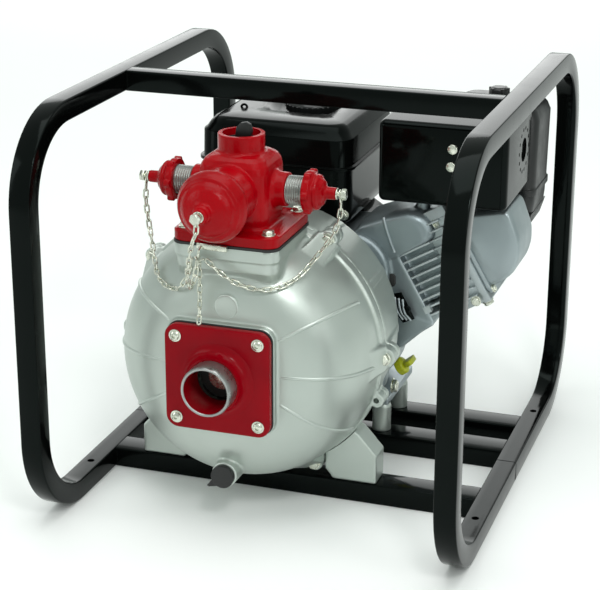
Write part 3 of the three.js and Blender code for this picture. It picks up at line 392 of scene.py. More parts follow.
def across(axis):
    """Two directions square to an axis and to each other."""
    side = axis.cross(Z if abs(axis.z) < 0.9 else X).normalized()
    return side, axis.cross(side).normalized()


def turns(count, start=0.0):
    """Angles spread evenly round a circle."""
    return [start + 2 * math.pi * i / count for i in range(count)]


def round_about(centre, a, b, radius, angles):
    """Points round a centre, in the plane of two directions."""
    return [centre + (a * math.cos(t) + b * math.sin(t)) * radius for t in angles]


def turned(profile, centre, axis, sides=64):
    """A turned solid. The profile is [radius, distance along the axis], and a radius of 0 closes it."""
    side, up = across(axis)
    tiny = 1e-3
    rings = [round_about(centre + axis * d, side, up, max(r, tiny), turns(sides)) for r, d in profile]
    if profile[0] == profile[-1]:
        return loft(rings[:-1], closed=True)
    return loft(rings)


def disc(radius, start, end, centre, axis, sides=64):
    return turned([(radius, start), (radius, end)], centre, axis, sides)


def rounded_profile(points, radius, steps=4):
    """Rounds the corners of a turned profile, by Bezier curves that start a radius from each corner."""
    out = [tuple(points[0])]
    for before, corner, after in zip(points, points[1:], points[2:]):
        a, b, c = Vector(before), Vector(corner), Vector(after)
        start = b + (a - b).normalized() * min(radius, (a - b).length / 2)
        end = b + (c - b).normalized() * min(radius, (c - b).length / 2)
        for i in range(steps + 1):
            t = i / steps
            out.append(tuple(start * (1 - t) ** 2 + b * 2 * t * (1 - t) + end * t ** 2))
    out.append(tuple(points[-1]))
    return out


def rectangle(width, depth, radius, centre=(0, 0), steps=6):
    """The outline of a rectangle with round corners."""
    out = []
    for i, (sx, sy) in enumerate([(1, 1), (-1, 1), (-1, -1), (1, -1)]):
        cx = centre[0] + sx * (width / 2 - radius)
        cy = centre[1] + sy * (depth / 2 - radius)
        for k in range(steps + 1):
            t = math.pi / 2 * (i + k / steps)
            out.append((cx + radius * math.cos(t), cy + radius * math.sin(t)))
    return out


def on_z(outline, z):
    return [Vector((a, b, z)) for a, b in outline]


def on_y(outline, y):
    return [Vector((a, y, b)) for a, b in outline]


def on_x(outline, x):
    return [Vector((x, a, b)) for a, b in outline]


def prism(outline, low, high, plane):
    return loft([plane(outline, low), plane(outline, high)])


def box(low, high):
    outline = [(low[0], low[1]), (high[0], low[1]), (high[0], high[1]), (low[0], high[1])]
    return prism(outline, low[2], high[2], on_z)


def hull(points):
    """The convex solid round some points."""
    mesh = bmesh.new()
    for p in points:
        mesh.verts.new(p)
    result = bmesh.ops.convex_hull(mesh, input=mesh.verts)
    loose = [v for v in result["geom_interior"] + result["geom_unused"] if isinstance(v, bmesh.types.BMVert)]
    bmesh.ops.delete(mesh, geom=list(set(loose)), context="VERTS")
    mesh.verts.index_update()
    shape = [v.co.copy() for v in mesh.verts], [tuple(v.index for v in face.verts) for face in mesh.faces]
    mesh.free()
    return shape


def curve_through(points, step):
    """A smooth curve through the points, with a point about every step."""
    knots = [Vector(p) for p in points]
    knots = [knots[0] * 2 - knots[1], *knots, knots[-1] * 2 - knots[-2]]
    out = []
    for a, b, c, d in zip(knots, knots[1:], knots[2:], knots[3:]):
        count = max(1, round((c - b).length / step))
        for i in range(count):
            t = i / count
            out.append(0.5 * (2 * b + (c - a) * t + (2 * a - 5 * b + 4 * c - d) * t ** 2
                              + (3 * b - a - 3 * c + d) * t ** 3))
    out.append(knots[-2])
    return out


def swept(path, section, closed=False, up=None):
    """Sweeps a section, in millimetres across the path, along it."""
    count = len(path)
    rings = []
    side = None
    for i, p in enumerate(path):
        after = path[(i + 1) % count] if closed or i < count - 1 else p
        before = path[i - 1] if closed or i else p
        along = (after - before).normalized()
        if up is not None:
            side = up.cross(along).normalized()
        elif side is None:
            side = across(along)[0]
        else:
            side = (side - along * side.dot(along)).normalized()
        top = along.cross(side)
        rings.append([p + side * a + top * b for a, b in section])
    return loft(rings, closed)


def circle(radius, sides=12):
    return [(radius * math.cos(t), radius * math.sin(t)) for t in turns(sides)]


def wire(points, radius, step=3, sides=12):
    return swept(curve_through(points, step), circle(radius, sides))


# ---------------------------------------------------------------- pieces

def build(name, shape, finish):
    """Makes a mesh object, in metres, with its faces pointing out."""
    points, faces = shape
    mesh = bpy.data.meshes.new(name)
    mesh.from_pydata([p * MM for p in points], [], faces)
    work = bmesh.new()
    work.from_mesh(mesh)
    bmesh.ops.remove_doubles(work, verts=work.verts, dist=1e-5)
    bmesh.ops.recalc_face_normals(work, faces=work.faces)
    work.to_mesh(mesh)
    work.free()
    mesh.materials.append(FINISHES[finish].material)
    piece = bpy.data.objects.new(name, mesh)
    bpy.context.scene.collection.objects.link(piece)
    return piece


def settle(piece):
    """Turns a piece's modifiers into its mesh."""
    bpy.context.view_layer.update()
    mesh = bpy.data.meshes.new_from_object(piece.evaluated_get(bpy.context.evaluated_depsgraph_get()))
    piece.modifiers.clear()
    piece.data = mesh
    return piece


def shade(piece, degrees=35):
    piece.data.shade_smooth()
    piece.data.set_sharp_from_angle(angle=math.radians(degrees))
    return piece


def bevelled(piece, width_mm, segments=2):
    bevel = piece.modifiers.new("bevel", "BEVEL")
    bevel.width = width_mm * MM
    bevel.segments = segments
    bevel.angle_limit = math.radians(40)
    return settle(piece)


def fused(name, shape, finish, voxel_mm, rounds=4):
    """Melts overlapping shapes into one casting, with fillets where they meet."""
    piece = build(name, shape, finish)
    remesh = piece.modifiers.new("melt", "REMESH")
    remesh.mode = "VOXEL"
    remesh.voxel_size = voxel_mm * MM
    smooth = piece.modifiers.new("soften", "SMOOTH")
    smooth.factor = 0.5
    smooth.iterations = rounds
    return settle(piece)


def cut(piece, shape):
    """Cuts a crisp hole of that shape."""
    tool = build("tool", shape, "pipe_steel")
    boolean = piece.modifiers.new("cut", "BOOLEAN")
    boolean.operation = "DIFFERENCE"
    boolean.solver = "EXACT"
    boolean.object = tool
    settle(piece)
    bpy.data.objects.remove(tool)
    return piece


def with_more(piece, shape):
    """Adds shapes to a piece's mesh as they are."""
    extra = build("extra", shape, "zinc")
    work = bmesh.new()
    work.from_mesh(piece.data)
    work.from_mesh(extra.data)
    work.to_mesh(piece.data)
    work.free()
    bpy.data.objects.remove(extra)
    return piece


def finish_piece(piece, body="root", replaces=(), degrees=35):
    shade(piece, degrees)
    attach(piece, body)
    if replaces:
        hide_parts(*replaces)
    return piece


def simple(name, shape, slot, body="root", replaces=(), bevel=0.0, degrees=35, finish=None):
    piece = build(name, shape, finish or slot)
    if bevel:
        bevelled(piece, bevel)
    return finish_piece(piece, body, replaces, degrees)


# ---------------------------------------------------------------- fasteners

def hex_head(at, axis, across_flats, height, turn=0.0):
    """A hexagon head with its upper corners cut round."""
    side, up = across(axis)
    corner = across_flats / math.sqrt(3)
    levels = [(0.0, corner), (height * 0.8, corner), (height, corner * 0.86)]
    return loft([round_about(at + axis * d, side, up, radius, turns(6, turn)) for d, radius in levels])


def hex_bolt(at, axis, size, turn=0.0):
    """A bolt head on a washer. Size is the thread's diameter."""
    thick, wide, tall = 1.4, size * 1.1, size * 0.65
    washer = rounded_profile([(0, 0), (wide, 0), (wide, thick), (0, thick)], 0.4, 2)
    head = hex_head(at + axis * thick, axis, size * 1.6, tall, turn)
    dot = turned([(size * 0.45, 0), (size * 0.42, 0.3), (0, 0.3)], at + axis * (thick + tall), axis, 24)
    return merged(turned(washer, at, axis, 32), head, dot)


def button_bolt(at, axis, radius):
    """A round head with a socket, on a flat washer."""
    washer = turned([(radius, 0), (radius, 1.2), (radius * 0.86, 1.5), (0, 1.5)], at, axis, 32)
    head = turned([
        (radius * 0.78, 1.4), (radius * 0.76, 3.2), (radius * 0.55, 4.6), (radius * 0.34, 5.0),
        (radius * 0.34, 3.0), (0, 3.0),
    ], at, axis, 32)
    return merged(washer, head)


def fasteners(name, *shapes, bevel=0.2):
    """One piece of several zinc-plated screws, nuts or bolts."""
    simple(name, merged(*shapes), "zinc", bevel=bevel)


# ---------------------------------------------------------------- chains

LINK_PITCH = 9.2
LINK_WIDTH = 7.0
LINK_WIRE = 1.05

# Routes of the chains, as the design lays them.
CHAIN_ROUTES = {
    "left_chain": [
        (-160.6, -166, 393.5), (-161.5, -166.5, 374), (-158, -169, 350), (-150, -178, 326), (-141, -192, 307),
        (-128, -213, 296), (-114, -226, 292), (-100, -233, 291), (-89, -236, 298), (-81, -237.5, 313),
        (-75, -238, 331),
    ],
    "right_chain": [
        (77.4, -166, 393.5), (77, -167, 379), (73, -169, 362), (66, -172, 347), (58, -178, 336),
        (49, -188, 323), (39, -202, 311), (26, -218, 304), (8, -229, 301), (-10, -233, 303),
        (-28, -235, 309), (-43, -237, 319), (-58, -238, 332),
    ],
    "front_chain": [
        (-42.5, -306, 385), (-47.5, -304.5, 374), (-53, -298, 360), (-59, -290, 341), (-64, -279, 322),
        (-68, -267, 308), (-69.5, -256, 304), (-69, -248.5, 310), (-67.5, -246, 321), (-66.5, -245.5, 333),
    ],
    "spare_chain": [
        (-66.5, -237.5, 328), (-66, -239.5, 312), (-65, -242, 296), (-64, -245.5, 281), (-63, -250, 268),
        (-62.5, -252.5, 260.5),
    ],
}


def chain_link(start, end, roll):
    """An oval link of round wire from one point to another."""
    along = (end - start).normalized()
    side, up = across(along)
    flat = side * math.cos(roll) + up * math.sin(roll)
    middle = (start + end) / 2
    radius = LINK_WIDTH / 2 - LINK_WIRE
    reach = (end - start).length / 2 + LINK_WIRE - radius
    path = []
    for i in range(20):
        t = 2 * math.pi * i / 20
        bulge = reach if math.cos(t) > 0 else -reach
        path.append(middle + along * (math.cos(t) * radius + bulge) + flat * math.sin(t) * radius)
    return swept(path, circle(LINK_WIRE, 8), closed=True, up=along.cross(flat))


def line_length(points):
    return sum((b - a).length for a, b in zip(points, points[1:]))


def spaced_points(path, count):
    """Points at even distances along a path, both ends with them."""
    total = line_length(path)
    wanted = [total * i / count for i in range(count + 1)]
    out, gone, i = [], 0.0, 0
    for distance in wanted:
        while i < len(path) - 2 and gone + (path[i + 1] - path[i]).length < distance:
            gone += (path[i + 1] - path[i]).length
            i += 1
        step = (path[i + 1] - path[i]).length
        out.append(path[i].lerp(path[i + 1], min(1, (distance - gone) / step)))
    return out


def chain(name):
    path = curve_through(CHAIN_ROUTES[name], 1.5)
    length = line_length(path)
    joints = spaced_points(path, round(length / LINK_PITCH))
    links = []
    for i, (a, b) in enumerate(zip(joints, joints[1:])):
        roll = math.pi / 2 * (i % 2) + random.uniform(-0.35, 0.35)
        links.append(chain_link(a, b, roll))
    piece = shade(build(name + "_links", merged(*links), "zinc"), 60)
    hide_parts(name)
    return piece, path, length


def chains():
    for name, screw in (("left_chain", "left_cap_screw"), ("right_chain", "right_cap_screw"),
                        ("front_chain", "front_cap_screw"), ("spare_chain", None)):
        piece, path, length = chain(name)
        if screw:
            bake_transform(piece)
        else:
            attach(piece, "root")


# ---------------------------------------------------------------- frame

def tube_section(width, height, radius=1.8):
    return rectangle(width, height, radius, steps=3)


def loop_path():
    length = LOOP_HIGH.y - LOOP_LOW.y - TUBE
    height = LOOP_HIGH.z - LOOP_LOW.z - TUBE
    middle = (LOOP_HIGH.z + LOOP_LOW.z) / 2
    return rectangle(length, height, BEND_RADIUS - TUBE / 2, (0, middle), steps=18)


def frame_loop(name, x):
    path = on_x(loop_path(), x)
    tube = swept(path, tube_section(TUBE, TUBE), closed=True, up=X)
    piece = build(name + "_tube", tube, "black_paint")
    for y in (-ANCHOR_Y, ANCHOR_Y):
        cut(piece, disc(4.5, -2, TUBE + 2, Vector((x, y, 0)), Z, 24))
    seam = swept(
        [Vector((x + a, 0, TUBE / 2 + b)) for a, b in tube_section(TUBE - 1.0, TUBE - 1.0)],
        circle(0.9, 8), closed=True, up=Y,
    )
    with_more(piece, seam)
    finish_piece(piece, replaces=(name,))


def weld_bead(x, y, z, width, height):
    """A rippled bead round the end of a tube, kept inside the tube's own height."""
    outline = rectangle(width, height, 3, steps=4)
    path = [Vector((x, y + a, z + b)) for a, b in outline]
    dense = spaced_points(path + [path[0]], 90)[:-1]
    rings = []
    for i, p in enumerate(dense):
        after, before = dense[(i + 1) % len(dense)], dense[i - 1]
        along = (after - before).normalized()
        out = along.cross(X)
        radius = 2.0 + 0.45 * math.sin(i * 1.1) + random.uniform(-0.12, 0.12)
        rings.append([p + X * a * radius + out * b * radius * 0.55 for a, b in circle(1, 8)])
    return loft(rings, closed=True)


def cross_tube(name):
    low, high = in_mm(name)
    middle = (low + high) / 2
    section = tube_section(high.y - low.y, high.z - low.z)
    ends = [low.x + 0.05, high.x - 0.05]
    path = [Vector((x, middle.y, middle.z)) for x in ends]
    tube = swept(path, section, up=Z)
    beads = [weld_bead(x, middle.y, middle.z, high.y - low.y - 1.2, high.z - low.z - 3.4)
             for x in (ends[0] + 0.8, ends[1] - 0.8)]
    simple(name + "_tube", merged(tube, *beads), "black_paint", replaces=(name,))


def frame_pieces():
    frame_loop("left_loop", -LOOP_X)
    frame_loop("right_loop", LOOP_X)
    for name in ("top_crossbar", "front_rail", "middle_rail", "rear_rail"):
        cross_tube(name)


# ---------------------------------------------------------------- pump casing

DOME_FLAT_RADIUS = 60
DOME_DEPTH = 109.5


def dome_depth(radius):
    """How far the dome stands out of the rim at a radius."""
    if radius <= DOME_FLAT_RADIUS:
        return DOME_DEPTH
    share = min(1, (radius - DOME_FLAT_RADIUS) / (CASING_RADIUS - DOME_FLAT_RADIUS))
    cosine = share ** (1 / 0.71)
    return DOME_DEPTH * math.sqrt(max(0, 1 - cosine ** 2)) ** 0.91


def on_dome(degrees, radius, lift=0.0):
    angle = math.radians(degrees)
    y = RIM_FRONT_Y - dome_depth(radius) - lift
    return Vector((PUMP_X + radius * math.cos(angle), y, PUMP_Z + radius * math.sin(angle)))


def dome_solid():
    """The dome, flatter in its middle and rounder towards the rim than a sphere."""
    profile = [(0, RIM_BACK_Y), (CASING_RADIUS, RIM_BACK_Y)]
    for i in range(33):
        angle = math.pi / 2 * i / 32
        radius = DOME_FLAT_RADIUS + (CASING_RADIUS - DOME_FLAT_RADIUS) * math.cos(angle) ** 0.71
        profile.append((radius, RIM_FRONT_Y - DOME_DEPTH * math.sin(angle) ** 0.91))
    profile.append((0, RIM_FRONT_Y - DOME_DEPTH))
    return turned(profile, PUMP_AXIS, Y, 128)


# Bolt lugs round the rim: angle from +X in degrees, distance from the axis, radius, and whether bolted.
RIM_LUGS = [
    (0, 161, 13, True), (-20, 162, 9, False), (-63, 166, 10, True), (-117, 166, 10, True),
    (-160, 162, 9, False), (180, 161, 13, True), (144, 163, 10, True), (57, 166, 11, True),
]
OPEN_HOLE = 3.6


def lug_centre(degrees, distance, y=0.0):
    angle = math.radians(degrees)
    return Vector((PUMP_X + distance * math.cos(angle), y, PUMP_Z + distance * math.sin(angle)))


def rim_lugs(front, back):
    return [disc(radius, front, back, lug_centre(degrees, distance), Y, 32)
            for degrees, distance, radius, _ in RIM_LUGS]


def lug_gussets():
    """Each large lug runs out of the dome in a wedge."""
    wedges = []
    for degrees, distance, radius, bolted in RIM_LUGS:
        if not bolted:
            continue
        spread = math.degrees(radius * 1.5 / CASING_RADIUS)
        points = [on_dome(degrees, CASING_RADIUS - 22, -2)]
        points += [on_dome(degrees + side * spread, CASING_RADIUS - 4, -2) for side in (-1, 1)]
        for side in (-1, 1):
            near, far = degrees + side * spread * 0.75, degrees + side * spread
            points.append(lug_centre(near, distance + radius * 0.3, RIM_FRONT_Y - 1))
            points.append(lug_centre(near, CASING_RADIUS - 20, RIM_BACK_Y))
            points.append(lug_centre(far, distance - radius * 0.2, RIM_BACK_Y))
        wedges.append(hull(points))
    return wedges


def discharge_boss():
    """The square seat for the manifold, on a block that runs down into the dome."""
    front = DISCHARGE_Y - FLANGE / 2
    middle = (PUMP_X, (front + RIM_BACK_Y) / 2)
    depth = RIM_BACK_Y - front
    plate = prism(rectangle(FLANGE, depth, FLANGE_CORNER, middle), BOSS_TOP_Z - 14, BOSS_TOP_Z, on_z)
    levels = [(BOSS_TOP_Z - 13, 1), (BOSS_TOP_Z - 28, 4), (BOSS_TOP_Z - 46, 15), (BOSS_TOP_Z - 66, 34)]
    rings = []
    for z, inset in levels:
        outline = rectangle(FLANGE - 3, depth - inset, 16, (PUMP_X, RIM_BACK_Y - (depth - inset) / 2))
        rings.append(on_z(outline, z))
    return [plate, loft(rings)]


# Ribs on the dome: angle at its start and its end in degrees, and the radius where it starts.
DOME_RIBS = [(37, 29, 78), (5, -1.5, 66), (-22, -33, 70), (138, 152, 86), (173, 179, 68), (-156, -148, 76)]
RIB_RADIUS = 2.4
# The plain round pad: its angle and its radius from the axis, then its own radius.
PAD_AT = (87, 83.5)
PAD_RADIUS = 14.5


def dome_rib(start_angle, end_angle, start_radius):
    """A half-sunk round rib along the dome, which fades out at its ends."""
    path = []
    for i in range(21):
        t = i / 20
        radius = start_radius + (CASING_RADIUS - 1.5 - start_radius) * math.sin(t * math.pi / 2)
        sink = 1.2 + 1.6 * max(0, 1 - min(t, 1 - t) / 0.08)
        path.append(on_dome(start_angle + (end_angle - start_angle) * t, radius, -sink))
    return swept(path, circle(RIB_RADIUS, 16))


def casing_details():
    """The thin ribs and the plain round pad, which are too fine to melt into the dome."""
    edge = PAD_RADIUS
    pad = [(0, 2), (edge, 2), (edge, -0.3), (edge - 1, -1.0), (edge - 2, -0.6), (edge - 3, -0.3), (0, -0.3)]
    return [*(dome_rib(*rib) for rib in DOME_RIBS), turned(pad, on_dome(*PAD_AT), Y, 48)]


def above_boss(back):
    """The room over the discharge boss, which the castings keep clear of."""
    half = FLANGE / 2 + 3
    return box((PUMP_X - half, -240, BOSS_TOP_Z), (PUMP_X + half, back, 400))


def pump_casing():
    pad = rectangle(FLANGE + 3, FLANGE + 3, FLANGE_CORNER + 1.5, (PUMP_X, PUMP_Z))
    drain_low, _ = in_mm("drain_plug")
    shape = merged(
        dome_solid(),
        disc(RIM_RADIUS, RIM_FRONT_Y, RIM_BACK_Y, PUMP_AXIS, Y, 128),
        prism(pad, SUCTION_BOSS_Y, -190, on_y),
        turned([(15.6, drain_low.y + 7.5), (16, -200), (20, -150)], Vector((PUMP_X, 0, DRAIN_Z)), Y, 48),
        *rim_lugs(RIM_FRONT_Y, RIM_BACK_Y),
        *lug_gussets(),
        *discharge_boss(),
    )
    piece = fused("pump_casing_shell", shape, "cast_aluminium", 1.5, 3)
    cut(piece, above_boss(-90))
    cut(piece, disc(SUCTION_BORE, -260, -200, PUMP_AXIS, Y, 48))
    # A wider room behind the check valve lets its disc swing open.
    cut(piece, disc(34, SUCTION_BOSS_Y + 0.6, -184, PUMP_AXIS, Y, 64))
    for degrees, distance, _, bolted in RIM_LUGS:
        if not bolted:
            cut(piece, disc(OPEN_HOLE, RIM_FRONT_Y - 5, RIM_BACK_Y + 2, lug_centre(degrees, distance), Y, 20))
    with_more(piece, merged(*casing_details()))
    finish_piece(piece, replaces=("pump_casing",), degrees=50)


def rim_bolts():
    shapes = []
    for i, (degrees, distance, radius, bolted) in enumerate(RIM_LUGS):
        if bolted:
            at = lug_centre(degrees, distance, RIM_FRONT_Y - 0.8)
            shapes.append(hex_bolt(at, -Y, min(8, radius * 0.72), i))
            nut = lug_centre(degrees, distance, RIM_BACK_Y + 12.5)
            shapes.append(hex_head(nut, Y, 12, 6, i))
    fasteners("rim_bolts", *shapes, bevel=0.25)


# ---------------------------------------------------------------- rear bracket

FOOT = [(88, 104), (88, 38), (98, 25.5), (152.6, 25.5), (152.6, 62.4), (129.7, 88), (106, 104)]
FOOT_FRONT_Y = -119.5
FOOT_BACK_Y = -85


def bracket_foot(side):
    outline = [(PUMP_X + side * dx, z) for dx, z in FOOT]
    return prism(outline, FOOT_FRONT_Y, FOOT_BACK_Y, on_y)


def rear_bracket():
    """The casting behind the casing, with ribs round its back and a foot on each side."""
    front = RIM_BACK_Y + 2.2
    back = BRACKET_BACK_Y
    shell = front + 10
    body = turned([
        (0, front), (RIM_RADIUS - 1, front), (RIM_RADIUS - 1, shell), (152, shell + 1), (149, back - 8),
        (149, back), (0, back),
    ], PUMP_AXIS, Y, 128)
    ribs = []
    for degrees in range(-150, 200, 30):
        ribs.append(hull([
            lug_centre(degrees + turn, distance, y)
            for turn in (-1.6, 1.6)
            for distance, y in ((140, shell), (157.5, shell), (140, back), (150.5, back - 3))
        ]))
    shape = merged(body, *rim_lugs(front, shell), *ribs, bracket_foot(1), bracket_foot(-1))
    piece = fused("rear_bracket_casting", shape, "cast_aluminium", 1.8, 3)
    cut(piece, above_boss(shell + 2))
    # The feet stop short of the casing's rim in front of the bracket.
    cut(piece, disc(RIM_RADIUS + 1.2, -130, front - 0.3, PUMP_AXIS, Y, 96))
    finish_piece(piece, replaces=("rear_bracket",), degrees=50)


# ---------------------------------------------------------------- suction side

def flange_corners(half=50.0):
    return [(sx * half, sz * half) for sx in (-1, 1) for sz in (-1, 1)]


def suction_side():
    """The red flange with its hub, the gasket behind it, and what is fixed to them."""
    square = rectangle(FLANGE, FLANGE, FLANGE_CORNER, (PUMP_X, PUMP_Z), steps=8)
    plate = prism(square, SUCTION_FACE_Y, SUCTION_BACK_Y, on_y)
    piece = build("suction_flange_plate", plate, "red_plate")
    cut(piece, disc(PIPE_RADIUS + 0.1, SUCTION_FACE_Y - 30, SUCTION_BACK_Y + 3, PUMP_AXIS, Y, 64))
    bevelled(piece, 1.6, 3)
    bore, fillet = PIPE_RADIUS + 0.1, 12.5
    hub = [(bore, -14), (PIPE_RADIUS + 2.6, -14)]
    for i in range(9):
        angle = math.pi / 2 * i / 8
        radius = PIPE_RADIUS + 3.0 + fillet * (1 - math.cos(angle))
        hub.append((radius, -0.2 - fillet * (1 - math.sin(angle))))
    hub += [(PIPE_RADIUS + 14, 2), (bore, 2), hub[0]]
    with_more(piece, turned(hub, PUMP_AXIS + Y * SUCTION_FACE_Y, Y, 64))
    finish_piece(piece, replaces=("suction_flange",), degrees=40)

    gasket = rectangle(FLANGE + 1.2, FLANGE + 1.2, FLANGE_CORNER, (PUMP_X, PUMP_Z), steps=8)
    sheet = prism(gasket, SUCTION_BACK_Y + 0.05, SUCTION_BOSS_Y - 0.05, on_y)
    piece = build("suction_gasket_sheet", sheet, "black_rubber")
    cut(piece, disc(SUCTION_BORE, -260, -200, PUMP_AXIS, Y, 48))
    finish_piece(piece, replaces=("suction_gasket",))

    face = PUMP_AXIS + Y * SUCTION_FACE_Y
    bolts = [button_bolt(face + X * dx + Z * dz, -Y, 7.4) for dx, dz in flange_corners()]
    simple("suction_bolts", merged(*bolts), "zinc", degrees=40)
    suction_nipple()
    check_valve()
    drain_plug()


def suction_nipple():
    """A pipe nipple with a chamfered end, painted red inside."""
    end, start = PIPE_LOW.y, PIPE_HIGH.y
    outer, bore = PIPE_RADIUS, PIPE_BORE
    profile = [
        (bore, start), (outer, start), (outer, end + 3.2), (outer - 1.1, end + 0.4), (outer - 1.5, end),
        (bore + 0.6, end), (bore, end + 0.8), (bore, start),
    ]
    piece = build("suction_pipe", turned(profile, PUMP_AXIS, Y, 96), "pipe_steel")
    piece.data.materials.append(FINISHES["red_plate"].material)
    for face in piece.data.polygons:
        out = Vector((face.center.x / MM - PUMP_X, face.center.z / MM - PUMP_Z)).length
        if out < bore + 0.2:
            face.material_index = 1
    finish_piece(piece, replaces=("suction_nipple",), degrees=30)


def check_valve():
    low, high = in_mm("check_valve_flap")
    centre = PUMP_AXIS + Y * low.y
    rubber_disc = turned(rounded_profile([(0, 0), (26, 0), (26, 6), (0, 6)], 1.5), centre, Y, 64)
    ear = box((PUMP_X - 9, low.y, PUMP_Z + 18), (PUMP_X + 9, high.y, high.z))
    flap = merged(rubber_disc, ear)
    simple("check_valve_disc", flap, "black_rubber", "check_valve", ("check_valve_flap",))
    washer = turned(rounded_profile([(0, -1.6), (15, -1.6), (15, 0), (0, 0)], 0.6), centre, Y, 48)
    bolt = hex_head(centre - Y * 1.6, -Y, 13, 5)
    simple("check_valve_washer", merged(washer, bolt), "zinc", "check_valve", bevel=0.3)


def drain_plug():
    centre = Vector((PUMP_X, in_mm("drain_plug")[0].y, DRAIN_Z))
    head = rounded_profile([(0, 0), (14, 0), (14, 6.9), (9, 6.9), (8.6, 26), (0, 26)], 1.2)
    head = turned(head, centre, Y, 48)
    tab_outline = [(-19, -13), (-16, -14), (-6, -12), (-8, -4), (-13, -5)]
    tab = hull([centre + Vector((dx, dy, dz)) for dy in (0.2, 3.6) for dx, dz in tab_outline])
    simple("drain_cap", merged(head, tab), "black_plastic", "drain_plug", ("drain_plug",), bevel=0.3)


# ---------------------------------------------------------------- discharge side

NECK_RADIUS = 27
NECK_BORE = 22
BODY_HALF = 41


def manifold():
    """A cored casting on a square flange, with collars for the side pipes, a neck and a front mouth."""
    centre = Vector((PUMP_X, DISCHARGE_Y, 0))
    flat = (PUMP_X, DISCHARGE_Y)
    plate_low, top = MANIFOLD_LOW.z, MANIFOLD_HIGH.z
    square = rectangle(FLANGE - 0.4, FLANGE - 0.4, FLANGE_CORNER, flat)
    plate = prism(square, plate_low, plate_low + 12.7, on_z)
    # Each level of the body: height, inset of its sides, corner radius.
    levels = [
        (356, -4, 20), (364, 1.0, 18), (372, 0, 18), (424, 0, 18), (432, 1.5, 18), (438, 5, 19),
        (441.5, 10, 20), (443, 14, 20),
    ]
    rings = []
    for z, inset, radius in levels:
        side = 2 * (BODY_HALF - inset)
        rings.append(on_z(rectangle(side, side, radius - inset / 2, flat), z))
    neck = turned([
        (0, 425), (NECK_RADIUS + 5, 425), (NECK_RADIUS + 2.5, 442), (NECK_RADIUS, 445), (NECK_RADIUS, top),
        (0, top),
    ], centre, Z, 96)
    collar = [(0, 20), (28, 34), (22.5, 41.5), (20, 46), (19.6, 56.8), (0, 56.8)]
    collars = [turned(collar, OUTLET, X * side, 64) for side in (-1, 1)]
    front_end = FRONT_CAP_HIGH.y + 0.4
    mouth = turned([
        (0, -190), (33, -198), (33, -214), (35.5, -220), (35.5, front_end), (0, front_end),
    ], Vector((PUMP_X, 0, OUTLET_Z)), Y, 96)
    bolt_places = [centre + X * dx + Y * dy for dx, dy in flange_corners()]
    pads = [disc(10.5, plate_low + 6, plate_low + 13.6, at, Z, 32) for at in bolt_places]
    shape = merged(plate, loft(rings), neck, mouth, *collars, *pads)
    piece = fused("manifold_casting", shape, "red_paint", 1.0, 4)
    cut(piece, disc(NECK_BORE, 400, top + 5, centre, Z, 64))
    cut(piece, box((PUMP_X - 80, -260, 300), (PUMP_X + 80, -80, plate_low)))
    finish_piece(piece, replaces=("discharge_manifold",), degrees=50)

    gasket = rectangle(FLANGE + 0.8, FLANGE + 0.8, FLANGE_CORNER, flat, steps=8)
    sheet = prism(gasket, BOSS_TOP_Z + 0.05, plate_low - 0.05, on_z)
    simple("discharge_gasket_sheet", sheet, "black_rubber", replaces=("discharge_gasket",))
    bolts = [hex_bolt(at + Z * (plate_low + 13.2), Z, 7.2, dx + dy)
             for at, (dx, dy) in zip(bolt_places, flange_corners())]
    fasteners("manifold_bolts", *bolts, bevel=0.25)


def threaded_nipple(name, side):
    """A short pipe whose thread is a stack of rings."""
    start, end = sorted(abs(corner.x - PUMP_X) for corner in in_mm(name))
    radius, bore, pitch = 16.7, 13.0, 2.7
    profile = [(bore, start), (radius - 0.8, start)]
    d = start + 0.6
    while d + pitch < end - 0.6:
        profile += [(radius - 1.25, d), (radius, d + pitch * 0.45), (radius, d + pitch * 0.6)]
        d += pitch
    profile += [(radius - 1.2, end - 0.3), (radius - 1.6, end), (bore, end), (bore, start)]
    pipe = turned(profile, OUTLET, X * side, 64)
    simple(name + "_thread", pipe, "pipe_steel", replaces=(name,), degrees=20, finish="threaded_steel")


def cap_screw(name, body, start, axis, hang):
    """The hexagon screw in a cap's stem, its washers, and the link that hangs round its waist."""
    shank = turned([(0, 0), (3.0, 0), (3.0, 7), (0, 7)], start, axis, 24)
    washer = turned(rounded_profile([(0, 0.1), (6.6, 0.1), (6.6, 1.6), (0, 1.6)], 0.4, 2), start, axis, 32)
    head = hex_head(start + axis * 6.2, axis, 11.5, 5.6, 0.3)
    ring_top = start + axis * 4 + Z * 3.6
    links = [chain_link(ring_top, hang[0], 0.0)]
    links += [chain_link(a, b, math.pi / 2) for a, b in zip(hang, hang[1:])]
    shape = merged(shank, washer, head, *links)
    simple(name + "_screw", shape, "zinc", body, (name,), bevel=0.2, degrees=45)


def side_cap(name, side):
    """A cap with a rim of six wrench lobes, stepped down to a stem."""
    axis = X * side
    body = turned([
        (0, 92.4), (17.2, 92.4), (17.2, 78), (23.6, 78), (24.2, 81), (23.6, 86), (21, 88), (19.8, 90),
        (20.8, 91.5), (19.8, 94), (16.8, 96), (13.6, 99.2), (8.6, 101), (7.2, 103), (7.0, 113.6), (0, 113.8),
    ], OUTLET, axis, 64)
    lobes = [disc(5.0, 79.2, 86.5, at, axis, 24) for at in round_about(OUTLET, Y, Z, 21.8, turns(6))]
    piece = fused(name + "_casting", merged(body, *lobes), "red_paint", 0.7, 2)
    finish_piece(piece, name, (name,), 55)


